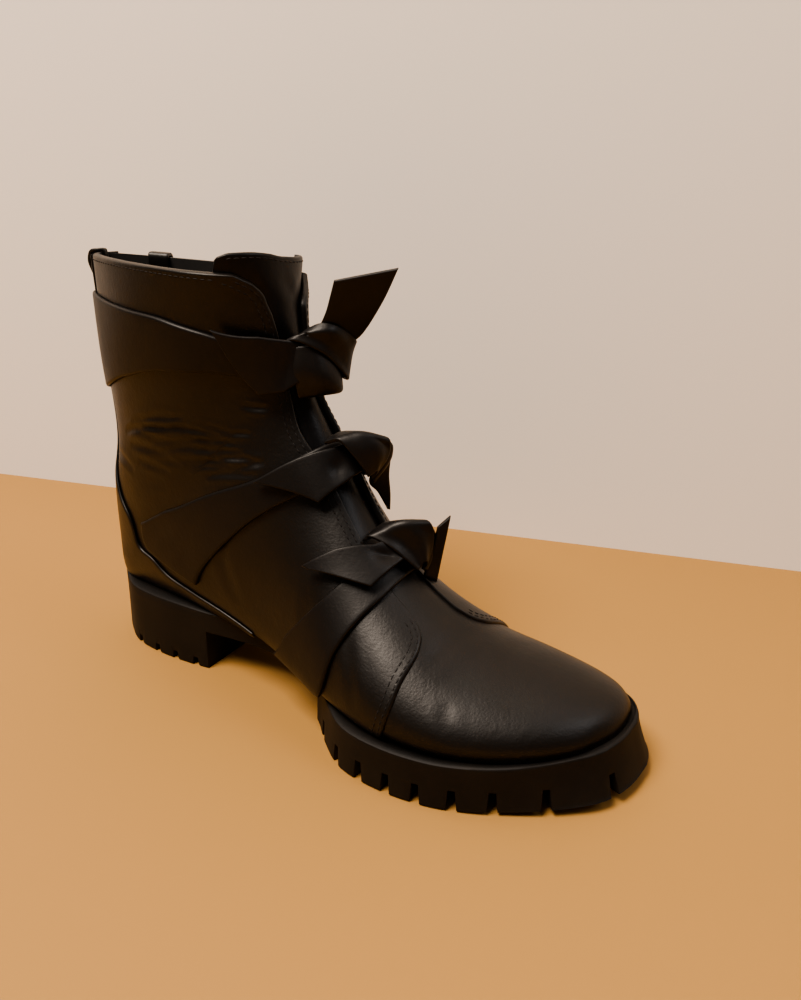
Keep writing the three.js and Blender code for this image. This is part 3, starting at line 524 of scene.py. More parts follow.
MEDIAL_CREASES = [
    [14.6, 60, 13.4, 116, 0.2, 3.0, 0.6],
    [13.6, 48, 12.5, 96, 0.2, 2.6, 0.55],
    [15.3, 80, 14.2, 128, 0.2, 2.4, 0.4],
    [11.8, 52, 10.6, 90, 0.2, 3.0, 0.4],
    [8.6, 56, 7.6, 96, 0.1, 3.0, 0.35],
]


def make_quarter(side, creases, level_creases, step):
    front, column = (LATERAL_FRONT, 1) if side < 0 else (MEDIAL_FRONT, 2)
    columns = spaced(175.0, step, 1.2)
    rows = spaced(150.0, step, 1.2)
    u, v = np.meshgrid(columns, rows, indexing="ij")
    station = 7 + 11 * u
    for _ in range(8):
        edge = np.abs(eased(THROAT, station, column))
        limit = np.interp(station, *WALL_FOOT[side].T)
        turn = edge + (limit - edge) * v
        start = eased(front, turn)
        collar = over_collar(turn * side, 0)
        station = start + (collar - start) * u
    name = "lateral_quarter" if side < 0 else "medial_quarter"
    return panel(name, station, turn * side, -WALL + 0.06, QUARTER_STEP, UPPER_LEATHER, LINING,
                 (1, 1, 1, 0), relief=crease_relief(creases, level_creases))


dress(make_vamp(), "upper")
dress(make_quarter(-1, LATERAL_CREASES, FINE_CREASES, 1.0), "upper")
dress(make_quarter(1, MEDIAL_CREASES, [], 1.6), "upper")


# Tongue: stations of its foot and its highest place, and its half width in turns at each station
TONGUE_FOOT = 7.55
TONGUE_TOP = 18.3
TONGUE_WIDTHS = np.array([
    [7.55, 26], [8.5, 32], [10, 36], [12, 42], [14, 48], [16, 55], [17.6, 61], [18.15, 60], [18.3, 54],
])
TONGUE_CREASES = [
    [17.9, -34, 16.6, -22, 0.1, 2.4, 0.35],
    [17.6, -4, 16.2, 8, 0.1, 2.8, 0.3],
    [16.9, 20, 15.9, 4, 0.1, 2.4, 0.3],
]


# Top edge of the tongue: share of its half width to the medial side, how much lower it is in stations
TONGUE_DIP = np.array([
    [-1, 0.08], [-0.9, 0], [-0.5, -0.02], [-0.2, 0.03], [0, 0.12], [0.3, 0.2], [0.6, 0.25], [1, 0.3],
])


def tongue_end(share):
    """Station of the tongue's top edge."""
    return TONGUE_TOP - eased(TONGUE_DIP, share)


def make_tongue():
    share, across = np.meshgrid(spaced(190.0, 2.0, 1.2), spaced(64.0, 1.3, 1.2), indexing="ij")
    station = TONGUE_FOOT + (tongue_end(2 * across - 1) - TONGUE_FOOT) * share
    turn = eased(TONGUE_WIDTHS, station) * (2 * across - 1)
    outer = -WALL - GAP
    return panel("tongue", station, turn, outer - TONGUE_THICKNESS, outer, TONGUE_LEATHER, LINING,
                 relief=crease_relief(TONGUE_CREASES))


dress(make_tongue(), "tongue")

# Heel counter and back stay: stations of its foot and top, then station and turn of its edge on both sides
COUNTER_FOOT = 9.9
COUNTER_TOP = 17.98
COUNTER_EDGE = np.array([
    [9.9, 122], [10.5, 117], [11.5, 113], [12.3, 107], [13.1, 110], [13.9, 117], [14.8, 135], [15.6, 152],
    [16.4, 160], [17.2, 163], [17.96, 164],
])


def make_counter(side):
    share, across = np.meshgrid(spaced(150.0, 1.8, 1.0), spaced(60.0, 1.6, 1.0), indexing="ij")
    station = COUNTER_FOOT + (COUNTER_TOP - COUNTER_FOOT) * share
    low = np.interp(station, *OVER_LIP[side].T)
    edge = np.minimum(eased(COUNTER_EDGE, station), low - 0.2)
    turn = (edge + (low - edge) * across) * side
    inner = QUARTER_STEP + GAP
    return panel("counter_lateral" if side < 0 else "counter_medial", station, turn, inner,
                 inner + COUNTER_THICKNESS, UPPER_LEATHER, None, (1, 1, 1, 0))


for counter_side in (-1, 1):
    dress(make_counter(counter_side), "heel_counter")

# Straps: turn on either side, station of the upper and of the lower edge
STRAPS = {
    "ankle_strap": [
        [160, 17.6, 16.55], [138, 17.53, 16.54], [114, 17.37, 16.49], [90, 17.1, 16.26], [63, 16.55, 15.61],
        [42, 15.8, 14.64], [20, 14.95, 13.9], [0, 14.8, 13.7],
    ],
    "instep_strap": [
        [104, 13.5, 11.05], [89, 13.13, 11.09], [68, 12.1, 10.89], [53, 11.45, 10.61], [39, 11.1, 10.28],
        [20, 10.8, 10.0], [0, 10.65, 9.9],
    ],
    "vamp_strap": [
        [118, 9.36, 8.2], [100, 9.22, 8.1], [88, 9.14, 8.04], [71, 8.88, 8.0], [56, 8.65, 7.9],
        [42, 8.48, 7.78], [24, 8.3, 7.65], [0, 8.2, 7.6],
    ],
}
STRAP_UNDER = QUARTER_STEP + GAP
STRAP_OUTER = STRAP_UNDER + STRAP_THICKNESS


def make_strap(name):
    half = np.array(STRAPS[name], float)
    whole = np.concatenate([half * [-1, 1, 1], half[::-1][1:]])
    share, width = np.meshgrid(spaced(260.0, 1.8, 1.1), spaced(24.0, 1.2, 1.1), indexing="ij")
    values = through(whole, share * (len(whole) - 1))
    station = values[..., 2] + (values[..., 1] - values[..., 2]) * width
    turn = values[..., 0]
    low = np.where(turn < 0, np.interp(station, *OVER_LIP[-1].T), np.interp(station, *OVER_LIP[1].T))
    turn = np.clip(turn, -low, low)
    return panel(name, station, turn, STRAP_UNDER, STRAP_OUTER, STRAP_LEATHER)


for strap_name in STRAPS:
    dress(make_strap(strap_name), strap_name)


# Knots and tails
def unit(v):
    return v / np.linalg.norm(v, axis=-1, keepdims=True)


def turned(v, axis, angle):
    c, s = math.cos(angle), math.sin(angle)
    return v * c + np.cross(axis, v) * s + axis * (axis @ v) * (1 - c)


def sheet(name, middle, thickness, material, edge=0.9):
    """A strip of leather around a grid of middle points, with rounded edges."""
    down = np.gradient(middle, axis=0)
    across = np.gradient(middle, axis=1)
    normal = unit(np.cross(down, across))
    share = 0.25 + 0.75 * edge_share(middle, edge, (1, 1, 1, 1))
    half = (thickness / 2 * share)[..., None]
    return shell(name, middle + normal * half, middle - normal * half, material)


# Knots: station, height, width, depth, tilt and medial shift of the core that the bands are wound round
KNOTS = {
    "ankle_knot": [14.1, 16, 12, 11, 20, 4],
    "instep_knot": [10.0, 15, 12, 11, -12, 4],
    "vamp_knot": [8.0, 14, 11, 9, -18, 4],
}
CORE = [[-0.5, 0.3], [-0.44, 0.72], [-0.25, 0.95], [0.0, 0.95], [0.25, 0.95], [0.44, 0.72], [0.5, 0.3]]

# Bands of the knots: rows of [to the lateral side, up the front, out of the upper] in millimetres from
# the ridge at the knot's station
BANDS = {
    "ankle_wrap": [
        [[12, 4.5, 1], [10.5, 5.5, 6], [7, 1, 12.5], [2, -4.5, 15], [-6, -14.5, 15.5], [-11, -14, 8]],
        [[11, 6, 2], [8, 7, 9.5], [4, 3.5, 14.5], [-1, -2, 16.5], [-8, -11.5, 15.5], [-13, -10, 8]],
        [[9.5, 6.5, 6], [6, 7.5, 13.5], [2, 6, 18.5], [-4, 1.5, 19.5], [-10, -4.5, 17.5], [-14, -4, 10]],
        [[5, 8.5, 10], [2, 10, 15.5], [-1, 8.5, 19], [-5.5, 5.5, 20.5], [-11, 0.5, 20.5], [-14, 0, 14]],
    ],
    "ankle_under": [
        [[10, 3, 3], [8, 3, 8.5], [4, 0, 12.5], [-3, -7, 14.5], [-9, -9, 10]],
        [[12, -8, 3], [10, -8, 7.5], [6, -11, 13], [-2, -15.5, 14.5], [-8, -16, 9]],
        [[10.5, -16.5, 1.5], [9, -17, 3.5], [5, -17.5, 10], [-2, -18.5, 13], [-8, -18, 8]],
        [[9, -17, 1], [7, -16.5, 2], [4, -16, 6], [-2, -16.5, 8], [-7, -15.5, 5]],
    ],
    "instep_wrap": [
        [[12, 11, 4], [11, 9.5, 10.5], [9, 2.5, 12], [6, -5, 12], [4, -9, 11]],
        [[9, 12.5, 6], [7, 9, 14], [5, 3, 16.5], [3, -3, 15.5], [2, -8.5, 12]],
        [[3, 12, 9], [2, 7.5, 18], [0, 3, 19.5], [-1, -2.5, 18], [0, -8, 13]],
        [[-6, 7, 12], [-6, 1.5, 21.5], [-7, -2.5, 19], [-5, -6, 15.5], [0, -10, 9]],
    ],
    "instep_under": [
        [[-4, 7, 8], [-4.5, 2, 18], [-6, -2.5, 16.5], [-5, -6.5, 13.5], [-1, -10.5, 8]],
        [[-7, 6, 9], [-8, 0.5, 19], [-9.5, -4, 16.5], [-7, -7.5, 13], [-2.5, -11.5, 6.5]],
        [[-12, 3, 5], [-12.5, 0, 10], [-13, -4, 9], [-11, -8, 7], [-7, -11, 4.5]],
    ],
    "vamp_wrap": [
        [[12, 12, 1], [11, 11, 4.5], [9, 3.5, 8], [6, -4, 8.5], [2, -11, 7.5]],
        [[8, 13, 3], [7, 9.5, 10], [4, 3.5, 11], [1.5, -3.5, 10], [0, -10.5, 8]],
        [[3, 13, 8], [2, 8, 16.5], [0, 2.5, 17], [-2, -3.5, 14.5], [-2, -9.5, 10.5]],
        [[-6, 8, 12], [-6, 2.5, 21], [-8, -2.5, 17.5], [-7, -7, 12], [-4, -11, 7]],
    ],
    "vamp_under": [
        [[-4, 8, 8], [-4.5, 3, 17], [-6, -2.5, 15], [-6, -7, 10], [-3.5, -11, 5.5]],
        [[-8, 6, 8], [-9, 1, 17], [-10.5, -4, 14], [-9.5, -8.5, 9], [-6, -12, 4]],
        [[-12, 3, 4], [-13, 0, 9], [-14, -4, 7], [-12, -9, 3.5], [-9, -12, 1.5]],
    ],
}

# Tails that lie on the straps: rows of an upper and a lower edge from inside the knot to the cut end,
# each a station, a turn and a height over the last as a share of the ball's width
TAILS = {
    "ankle_left": [
        [14.3, 0, 0.1, 13.1, -2, 0.1], [14.95, -14, 0.08, 13.1, -22, 0.08],
        [15.79, -32, 0.074, 13.64, -34, 0.074], [16.61, -57, 0.074, 16.4, -54, 0.074],
    ],
    "instep_left": [
        [10.4, 5, 0.1, 9.7, 5, 0.1], [10.55, -12, 0.085, 9.7, -16, 0.082],
        [10.87, -28, 0.074, 9.77, -32, 0.074], [11.27, -50, 0.074, 11.1, -48, 0.074],
    ],
    "vamp_left": [
        [8.2, 2, 0.1, 7.8, 2, 0.1], [8.43, -18, 0.085, 7.85, -10, 0.09],
        [8.89, -36, 0.075, 7.93, -31, 0.075], [9.26, -54, 0.075, 9.1, -52, 0.075],
    ],
}
# Depth of the pinch where a tail goes into its knot
PINCH = {"ankle_left": 0.4, "instep_left": 1.6, "vamp_left": 1.6}

# Tails that stand free: rows of a left and a right edge, as in the bands
FREE_TAILS = {
    "ankle_right": [
        [[2, 8, 13], [-10, -1, 17]], [[2, 14, 18.5], [-11.5, 3, 25]],
        [[2, 20, 22.5], [-12, 14, 37.5]], [[2, 25.5, 26], [-12, 25, 47.5]],
    ],
    "instep_right": [
        [[-6, -4, 12], [-12, -6, 13]], [[-4, -10.5, 4], [-12, -11.5, 9]],
        [[-8, -16.5, 2.5], [-13, -19, 4.5]], [[-12, -24.5, 0], [-13, -25.5, 0.5]],
    ],
    "vamp_right": [
        [[-6, -13.5, 2], [-13, -18, 0]], [[-8, -9, 8], [-14, -12, 8]],
        [[-9, -4.5, 15], [-14, -6, 17]], [[-10, -0.5, 20], [-14, 0, 26]],
    ],
}


def knot_axes(station, tilt=0):
    """Axes to the lateral side, up the front and out of the upper."""
    out = unit(skin(station, 0, 1) - skin(station, 0, 0))
    rise = unit(last_point(station + 0.2, 0) - last_point(station - 0.2, 0))
    up = turned(rise, out, tilt * DEGREE)
    return np.cross(out, up), up, out


def make_core(name):
    """Closed bulge that fills the inside of a knot."""
    station, height, width, depth, tilt, shift = KNOTS[name]
    across, up, out = knot_axes(station, tilt)
    middle = skin(station, 0, STRAP_OUTER + GAP + depth * 0.45) - across * shift
    rows, columns = 25, 32
    share = np.linspace(0, 1, rows)[:, None] * np.ones((1, columns))
    angle = np.linspace(0, 2 * math.pi, columns, endpoint=False)[None, :] * np.ones((rows, 1))
    values = through(CORE, share * (len(CORE) - 1))
    wide = np.cos(angle) * width / 2 * values[..., 1]
    deep = np.sin(angle) * depth / 2 * values[..., 1]
    points = middle + up * (values[..., [0]] * height) + across * wide[..., None] + out * deep[..., None]
    faces = grid_faces(rows, columns, 0, False)
    faces += [(i * columns + columns - 1, i * columns, (i + 1) * columns, (i + 1) * columns + columns - 1)
              for i in range(rows - 1)]
    ends = [points[0].mean(0), points[-1].mean(0)]
    count = rows * columns
    faces += [(j, (j + 1) % columns, count) for j in range(columns)]
    faces += [(count - columns + (j + 1) % columns, count - columns + j, count + 1) for j in range(columns)]
    return object_from(name + "_core", np.concatenate([points.reshape(-1, 3), ends]), faces, STRAP_LEATHER)


def from_ridge(station, values):
    """Points from millimetres to the lateral side, up and out at the ridge."""
    across, up, out = knot_axes(station)
    values = np.asarray(values, float)
    return skin(station, 0, 0) + values[..., [0]] * across + values[..., [1]] * up + values[..., [2]] * out


def make_band(name):
    knot = name.split("_")[0] + "_knot"
    control = from_ridge(KNOTS[knot][0], BANDS[name])
    rows, columns = control.shape[:2]
    u, v = spaced(18.0, 0.7, 0.9), spaced(26.0, 0.7, 0.9)
    lines = np.stack([through(control[i], v * (columns - 1)) for i in range(rows)])
    middle = np.stack([through(lines[:, j], u * (rows - 1)) for j in range(len(v))], 1)
    return sheet(name, middle, STRAP_THICKNESS, STRAP_LEATHER)


def with_corners(shares, rows):
    """Shares of a length with the nearest of them moved onto each row, so that corners stay crisp."""
    moved = shares.copy()
    for k in range(1, rows - 1):
        moved[np.abs(moved - k / (rows - 1)).argmin()] = k / (rows - 1)
    return moved


def linear(table, at):
    table = np.asarray(table, float)
    k = np.clip(np.floor(at).astype(int), 0, len(table) - 2)
    f = (at - k)[..., None]
    return table[k] * (1 - f) + table[k + 1] * f


def make_tail(name):
    rows = np.array(TAILS[name], float)
    share, width = np.meshgrid(with_corners(spaced(70.0, 1.0, 0.9), len(rows)), spaced(22.0, 1.0, 0.9),
                               indexing="ij")
    values = linear(rows, share * (len(rows) - 1))
    pinch = PINCH[name] * np.exp(-((share - 0.36) / 0.1) ** 2 - ((width - 0.55) / 0.3) ** 2)
    top = skin(values[..., 0], values[..., 1], values[..., 2] * BALL_WIDTH)
    low = skin(values[..., 3], values[..., 4], values[..., 5] * BALL_WIDTH)
    normal = last_normal(values[..., 0] * 0.5 + values[..., 3] * 0.5, values[..., 1])
    middle = top + (low - top) * width[..., None] + normal * (0.4 - pinch)[..., None]
    return sheet("tail_" + name, middle, STRAP_THICKNESS, STRAP_LEATHER)


def make_free_tail(name):
    control = from_ridge(KNOTS[name.split("_")[0] + "_knot"][0], FREE_TAILS[name])
    share, width = np.meshgrid(with_corners(spaced(40.0, 1.0, 0.9), len(control)), spaced(20.0, 1.0, 0.9),
                               indexing="ij")
    left = through(control[:, 0], share * (len(control) - 1))
    right = through(control[:, 1], share * (len(control) - 1))
    return sheet("tail_" + name, left + (right - left) * width[..., None], STRAP_THICKNESS, STRAP_LEATHER)


for knot_name in KNOTS:
    dress(make_core(knot_name), knot_name)
for make, table in ((make_band, BANDS), (make_tail, TAILS), (make_free_tail, FREE_TAILS)):
    for piece_name in table:
        dress(make(piece_name), piece_name.split("_")[0] + "_knot")

# Tabs folded over the collar: turns, distance of the wall under them, drop outside and inside
TAB_THICKNESS = 1.5
TABS = {
    "pull_loop": [173, 187, QUARTER_STEP + GAP + COUNTER_THICKNESS, 10],
    "guard_tab": [138, 147, QUARTER_STEP, 7],
}


def make_tab(name):
    first, last, wall, drop = TABS[name]
    outside = wall + GAP + TAB_THICKNESS / 2
    inside = -WALL - GAP - TAB_THICKNESS / 2
    top = GAP + TAB_THICKNESS / 2
    profile = [
        [-drop, outside], [-drop * 0.7, outside + 0.9], [-drop * 0.4, outside + 1.5],
        [-drop * 0.1, outside + 0.9], [top * 0.8, outside - 0.5], [top, (outside + inside) / 2],
        [top * 0.8, inside + 0.5],
        [-drop * 0.3, inside], [-drop, inside],
    ]
    share, across = np.meshgrid(spaced(30.0, 0.9, 0.6), spaced(14.0, 1.0, 0.6), indexing="ij")
    values = through(profile, share * (len(profile) - 1))
    turn = first + (last - first) * across
    turn = np.where(turn > 180, turn - 360, turn)
    middle = skin(over_collar(turn, values[..., 0]), turn, values[..., 1])
    return sheet(name, middle, TAB_THICKNESS, UPPER_LEATHER, 0.6)


for tab_name in TABS:
    dress(make_tab(tab_name), tab_name)

# Sole: outline of the rim. Forward is a share of the last's length from the heel's back, lateral and
# medial are shares of the ball's width from the middle line.
OUTLINE = np.array([
    [-0.0055, 0.0, 0.0], [0.002, 0.1, 0.1], [0.02, 0.18, 0.178], [0.052, 0.256, 0.252], [0.09, 0.32, 0.316],
    [0.143, 0.345, 0.343], [0.2, 0.346, 0.344], [0.264, 0.326, 0.328], [0.322, 0.288, 0.299],
    [0.4, 0.252, 0.275], [0.481, 0.275, 0.287], [0.54, 0.39, 0.331], [0.581, 0.506, 0.36],
    [0.635, 0.616, 0.384], [0.709, 0.645, 0.413], [0.778, 0.624, 0.419], [0.826, 0.58, 0.419],
    [0.874, 0.513, 0.401], [0.919, 0.421, 0.372], [0.959, 0.313, 0.314], [0.989, 0.21, 0.244],
    [1.007, 0.079, 0.151], [1.013, -0.07, 0.07],
])
OUTLINE_END = len(OUTLINE) - 1
WAIST_UNDER = [[0.271, 0.66], [0.36, 0.6], [0.45, 0.5], [0.532, 0.42]]
FOREPART_NOTCHES = [0.572, 0.624, 0.671, 0.718, 0.764, 0.817, 0.87, 0.931, 0.995]
HEEL_NOTCHES = [0.1, 0.15, 0.196, 0.243]
NOTCH_HEIGHT = 9.2
NOTCH_WIDTH = 5.0
NOTCH_DEPTH = 15.0


def flare_at(forward):
    return SOLE_FLARE + TOE_FLARE * smooth((forward / LAST_LENGTH - 0.87) / 0.14)


def tread_rise(forward):
    return TREAD_TOE_RISE * np.clip((forward / LAST_LENGTH - 0.77) / 0.26, 0, 1) ** 1.6


def rim(at, side):
    """Points of the rim as forward and across, and directions outwards."""
    at = np.asarray(at, float)

    def point(places):
        values = through(OUTLINE, places)
        return np.stack([values[..., 0] * LAST_LENGTH,
                         side * np.where(side < 0, values[..., 1], values[..., 2]) * BALL_WIDTH], -1)

    step = point(np.minimum(at + 0.05, OUTLINE_END)) - point(np.maximum(at - 0.05, 0))
    out = np.stack([-side * step[..., 1], side * step[..., 0]], -1)
    out = unit(out)
    out = np.where((at <= 0)[..., None], [-1.0, 0.0], out)
    out = np.where((at >= OUTLINE_END)[..., None], [1.0, 0.0], out)
    return point(at), out


# Rings of the sole from the middle of its top over the lip to the tread: share of the lip's breadth up
# to the upper, inset from there, and height over the sole's top
LIP_RINGS = [
    [1, 5.0, 0.2], [1, 0.5, 0.25], [1, 0.1, 0.5], [1, -0.3, 1.2], [0.85, 0, 1.5], [0.5, 0, 1.62],
    [0.2, 0, 1.5], [0.04, 0, 1.1], [0, 0, 0.4],
]


def last_contour(height_table):
    """The last's outline where it comes down to the sole, as forward and across."""
    lines = []
    for side in (-1, 1):
        table = height_table[side]
        table = table[: int(np.argmax(table[:, 1] > 179.9)) + 1]
        point = last_point(table[:, 0], table[:, 1] * side)
        lines.append(np.stack([HEEL_BACK - point[:, 1], point[:, 0]], -1))
    return np.concatenate([lines[0], lines[1][::-1]])


def distance_to(points, line):
    nearest = np.full(len(points), 1e9)
    for a, b in zip(line[:-1], line[1:]):
        step = b - a
        f = np.clip((points - a) @ step / max(step @ step, 1e-9), 0, 1)
        nearest = np.minimum(nearest, np.linalg.norm(points - a - f[:, None] * step, axis=1))
    return nearest


def make_sole():
    places = np.linspace(0, OUTLINE_END, 4 * OUTLINE_END + 1)
    lateral, out_lateral = rim(places, -1)
    medial, out_medial = rim(places, 1)
    loop = np.concatenate([lateral, medial[1:-1][::-1]])
    out = np.concatenate([out_lateral, out_medial[1:-1][::-1]])
    forward = loop[:, 0]
    breadth = np.maximum(distance_to(loop, last_contour(OVER_LIP)) - QUARTER_STEP - 0.4, 0.9)
    rings = []
    for share, inset, height in LIP_RINGS:
        rings.append((-share * breadth - inset, sole_top(forward) + height))
    low, top = tread_rise(forward), sole_top(forward) + 0.4
    for share in (0.12, 0.3, 0.5, 0.7, 0.86, 0.95):
        rings.append((flare_at(forward) * share ** 1.25, top + (low - top) * share))
    rings.append((flare_at(forward) - 0.1, low + 0.7))
    rings.append((flare_at(forward) - 0.7, low))
    rings.append((flare_at(forward) - 6, low))
    points = []
    for inset, height in rings:
        moved = loop + out * inset[:, None]
        points.append(np.stack([moved[:, 1], HEEL_BACK - moved[:, 0], height], -1))
    points = np.array(points)
    n, half = len(loop), len(places)
    faces = grid_faces(len(rings), n, 0, False)
    faces += [(i * n + n - 1, i * n, (i + 1) * n, (i + 1) * n + n - 1) for i in range(len(rings) - 1)]
    bottom = (len(rings) - 1) * n
    for i in range(half - 1):
        c, d = (n - i) % n, (n - i - 1) % n
        faces.append(tuple(dict.fromkeys((i, c, d, i + 1))))
        faces.append(tuple(dict.fromkeys((bottom + i, bottom + i + 1, bottom + d, bottom + c))))
    return object_from("outsole_body", points.reshape(-1, 3), faces, RUBBER)


BOX_FACES = [(0, 1, 2, 3), (7, 6, 5, 4), (0, 4, 5, 1), (1, 5, 6, 2), (2, 6, 7, 3), (3, 7, 4, 0)]


def notch_corners(share, side, height, depth):
    at = np.interp(share, OUTLINE[:, 0], np.arange(len(OUTLINE)))
    edge, out = rim(at, side)
    across = np.array([-out[1], out[0]])
    floor = float(tread_rise(edge[0]))
    corners = []
    for reach_out in (float(flare_at(edge[0])) + 3, -depth):
        wide = NOTCH_WIDTH * (1 if reach_out > 0 else 0.6)
        for aside, up in ((-wide / 2, floor - 2), (wide / 2, floor - 2), (wide * 0.3, floor + height),
                          (-wide * 0.3, floor + height)):
            place = edge + out * reach_out + across * aside
            corners.append([place[1], HEEL_BACK - place[0], up])
    return corners


def cut_sole(sole):
    corners, faces = [], []

    def add(block):
        first = len(corners)
        corners.extend(block)
        faces.extend(tuple(first + k for k in face) for face in BOX_FACES)

    for side in (-1, 1):
        for share in FOREPART_NOTCHES:
            add(notch_corners(share, side, NOTCH_HEIGHT, NOTCH_DEPTH))
        for share in HEEL_NOTCHES:
            add(notch_corners(share, side, NOTCH_HEIGHT * 0.5, NOTCH_DEPTH * 0.7))
    notches = object_from("cutter", corners, faces, RUBBER)
    arch = [[f * LAST_LENGTH, u * HEEL_HEIGHT] for f, u in WAIST_UNDER]
    outline = [[arch[0][0], -5.0]] + arch + [[arch[-1][0], -5.0]]
    reach_side = BALL_WIDTH
    side_points = [[x, HEEL_BACK - f, u] for x in (-reach_side, reach_side) for f, u in outline]
    k = len(outline)
    arch_faces = [tuple(range(k)), tuple(range(2 * k - 1, k - 1, -1))]
    arch_faces += [(j, j + k, (j + 1) % k + k, (j + 1) % k) for j in range(k)]
    waist = object_from("cutter", side_points, arch_faces, RUBBER)
    bpy.context.view_layer.objects.active = sole
    sole.select_set(True)
    for tool in (waist, notches):
        step = sole.modifiers.new("cut", "BOOLEAN")
        step.operation = "DIFFERENCE"
        step.solver = "EXACT"
        step.object = tool
        bpy.ops.object.modifier_apply(modifier=step.name)
        bpy.data.objects.remove(tool, do_unlink=True)
    soften = sole.modifiers.new("soften", "BEVEL")
    soften.width = 0.6 * MM
    soften.segments = 2
    soften.limit_method = "ANGLE"
    soften.angle_limit = 40 * DEGREE
    bpy.ops.object.modifier_apply(modifier=soften.name)
    bpy.ops.object.shade_smooth_by_angle(angle=38 * DEGREE)
    sole.select_set(False)
    return sole


dress(cut_sole(make_sole()), "outsole")


def make_insole():
    """Board inside the upper, between the walls of the last."""
    station, width = np.meshgrid(np.linspace(0.7, 13.0, 90), np.linspace(0, 1, 25), indexing="ij")
    left = skin(station, -np.interp(station, *OVER_LIP[-1].T), -WALL - GAP)
    right = skin(station, np.interp(station, *OVER_LIP[1].T), -WALL - GAP)
    low = left + (right - left) * width[..., None]
    low[..., 2] = sole_top(HEEL_BACK - low[..., 1]) + GAP
    return shell("insole_board", low + [0, 0, 2.5], low, LINING)


dress(make_insole(), "insole")


# Stitches: profile of one, and how far the seam lies under the collar
COLLAR_SEAM = 2.4
STITCH = [[-0.5, 0.3], [-0.3, 0.9], [0.0, 1.0], [0.3, 0.9], [0.5, 0.3]]


def beside(station, turn, distance):
    """A line on the last moved sideways over its surface, as stations and turns."""
    point = last_point(station, turn)
    tangent = unit(np.gradient(point, axis=0))
    side = np.cross(last_normal(station, turn), tangent)
    by_station = (last_point(station + 0.05, turn) - point) / 0.05
    by_turn = (last_point(station, turn + 0.5) - point) / 0.5
    a, b, c = (by_station ** 2).sum(-1), (by_station * by_turn).sum(-1), (by_turn ** 2).sum(-1)
    p, q = (by_station * side).sum(-1) * distance, (by_turn * side).sum(-1) * distance
    whole = a * c - b * b
    return station + (c * p - b * q) / whole, turn + (a * q - b * p) / whole


def stitch_row(station, turn, out, pitch=3.0, long=2.2, wide=0.62):
    """Points and faces of a row of stitches along a line on the last."""
    line = skin(station, turn, out)
    normal = last_normal(station, turn)
    reached = np.concatenate([[0], np.cumsum(np.linalg.norm(np.diff(line, axis=0), axis=1))])
    points, faces = [], []
    for centre in np.arange(pitch / 2, reached[-1], pitch):
        at = [np.array([np.interp(centre + d, reached, line[:, k]) for k in range(3)])
              for d in (-0.4, 0, 0.4)]
        up = unit(np.array([np.interp(centre, reached, normal[:, k]) for k in range(3)]))
        along_it = unit(at[2] - at[0])
        across = np.cross(up, along_it)
        first = len(points)
        for share, scale in STITCH:
            for angle in np.arange(6) * math.pi / 3:
                points.append(at[1] + along_it * share * long + across * math.cos(angle) * wide / 2 * scale
                              + up * math.sin(angle) * wide / 2 * scale * 0.8)
        for k in range(len(STITCH) - 1):
            for j in range(6):
                i, n = first + k * 6 + j, first + k * 6 + (j + 1) % 6
                faces.append((i, n, n + 6, i + 6))
        end = first + (len(STITCH) - 1) * 6
        faces.append(tuple(range(first + 5, first - 1, -1)))
        faces.append(tuple(range(end, end + 6)))
    return points, faces


def sewn(name, node_name, rows):
    points, faces = [], []
    for row in rows:
        more, sides = stitch_row(*row)
        faces += [tuple(i + len(points) for i in face) for face in sides]
        points += more
    dress(object_from(name, points, faces, THREAD), node_name)


def edge_line(side, kind, distance):
    """Line beside the front edge or the throat of a quarter."""
    front, column = (LATERAL_FRONT, 1) if side < 0 else (MEDIAL_FRONT, 2)
    if kind == "front":
        turn = np.linspace(front[0, 0] + 3, 118, 90)
        station = eased(front, turn)
    else:
        station = np.linspace(8.0, 17.9, 150)
        turn = np.abs(eased(THROAT, station, column))
    station, turn = beside(station, turn * side, distance)
    under = station < over_collar(turn, -COLLAR_SEAM)
    return station[under], turn[under]


def collar_line(side, distance):
    turn = np.linspace(58, 172, 90) * side
    return over_collar(turn, -distance), turn


ON_QUARTER = QUARTER_STEP + 0.02
SEAMS = {
    -1: ["lateral_stitches", ["front", -2.0], ["front", -4.4], ["throat", 2.2], ["throat", 4.6]],
    1: ["medial_stitches", ["front", 2.0], ["front", 4.4], ["throat", -2.2]],
}
for seam_side, (seam_name, *seams) in SEAMS.items():
    seam_rows = [(*edge_line(seam_side, *seam), ON_QUARTER) for seam in seams]
    sewn(seam_name, "upper", seam_rows + [(*collar_line(seam_side, COLLAR_SEAM), ON_QUARTER)])


def tongue_top():
    share = np.linspace(-0.97, 0.97, 90)
    return beside(tongue_end(share), 54 * share, -2.2)


sewn("tongue_stitches", "tongue", [(*tongue_top(), -WALL - GAP + 0.02)])


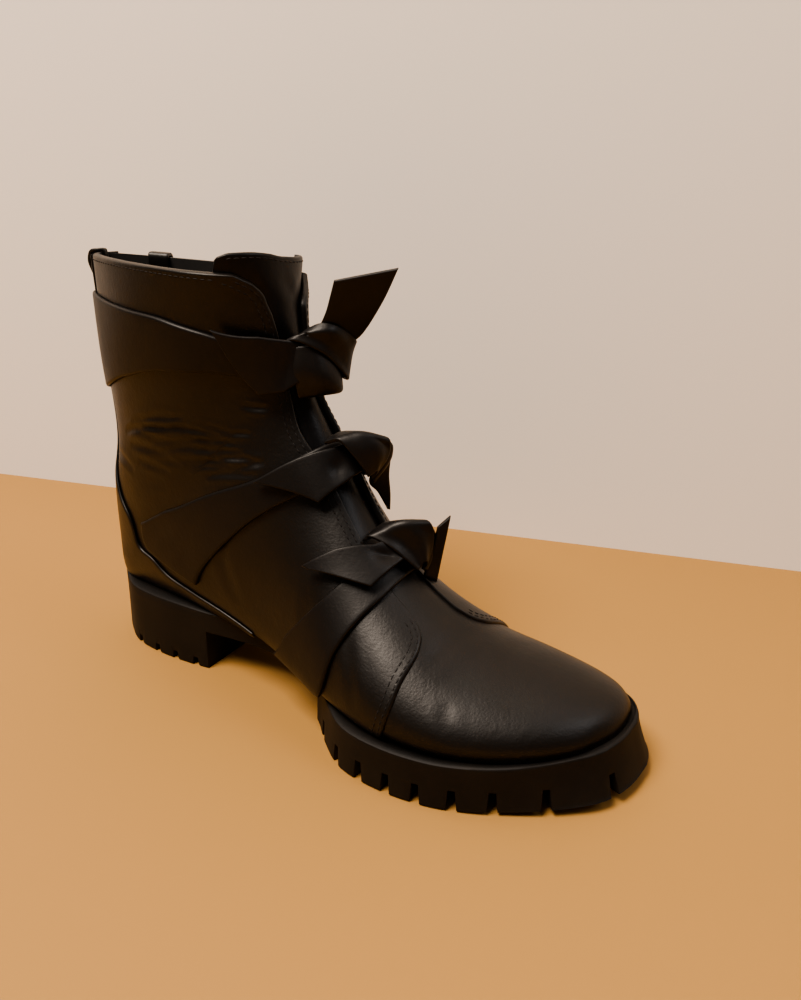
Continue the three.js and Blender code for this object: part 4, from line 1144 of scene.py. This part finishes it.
# Camera and light
def add_camera():
    """The photo's view: place, direction, roll and lens were fitted to the floor line, heel and sole."""
    data = bpy.data.cameras.new("camera")
    camera = bpy.data.objects.new("camera", data)
    bpy.context.scene.collection.objects.link(camera)
    forward = Vector((0.7823, 0.4889, -0.3859)).normalized()
    right = Vector((0.5299, -0.8480, 0.0)).normalized()
    up = right.cross(forward)
    roll = -0.7 * DEGREE
    rolled_right = right * math.cos(roll) + up * math.sin(roll)
    rolled_up = -right * math.sin(roll) + up * math.cos(roll)
    turn = Matrix((rolled_right, rolled_up, -forward)).transposed().to_4x4()
    camera.matrix_world = Matrix.Translation((-0.2666, -0.2984, 0.231)) @ turn
    data.lens = 29.376
    data.sensor_width = 36
    data.sensor_fit = "AUTO"
    data.clip_start = 0.01
    bpy.context.scene.camera = camera


def add_light(name, place, target, size, power, colour):
    data = bpy.data.lights.new(name, "AREA")
    data.shape = "RECTANGLE"
    data.size, data.size_y = size
    data.energy = power
    data.color = srgb(colour)[:3]
    light = bpy.data.objects.new(name, data)
    light.location = place
    light.rotation_euler = (Vector(target) - Vector(place)).to_track_quat("-Z", "Y").to_euler()
    bpy.context.scene.collection.objects.link(light)


add_camera()
add_light("lamp", (-0.75, 0.25, 1.85), (0.05, -0.1, 0.15), (0.9, 0.9), 68, "#ffeedd")
add_light("window", (0.5, -1.5, 1.6), (0.05, -0.1, 0.1), (1.1, 0.9), 16, "#f3f2f4")


def make_world():
    """Even pale light all round."""
    world = bpy.data.worlds.new("room")
    world.use_nodes = True
    sky = world.node_tree.nodes["Background"]
    sky.inputs["Color"].default_value = srgb("#e6d8c8")
    sky.inputs["Strength"].default_value = 0.15
    bpy.context.scene.world = world


make_world()


ROOM_SIZE = 6
WALL_PLACE = 0.161
WALL_TURN = -76.15


def make_room():
    """Plain warm floor and plain pale wall."""
    bpy.ops.mesh.primitive_plane_add(size=ROOM_SIZE, location=(0, 0, 0))
    floor = bpy.context.active_object
    floor.name = "floor"
    floor.data.materials.append(plain("warm_floor", "#a27a41", 0.75))
    bpy.ops.mesh.primitive_plane_add(size=ROOM_SIZE, location=(WALL_PLACE, 0, ROOM_SIZE / 2),
                                     rotation=(math.pi / 2, 0, WALL_TURN * DEGREE))
    wall = bpy.context.active_object
    wall.name = "wall"
    wall.data.materials.append(plain("pale_wall", "#f4efe8", 0.75))


make_room()
bpy.context.scene.view_settings.look = "AgX - Medium High Contrast"
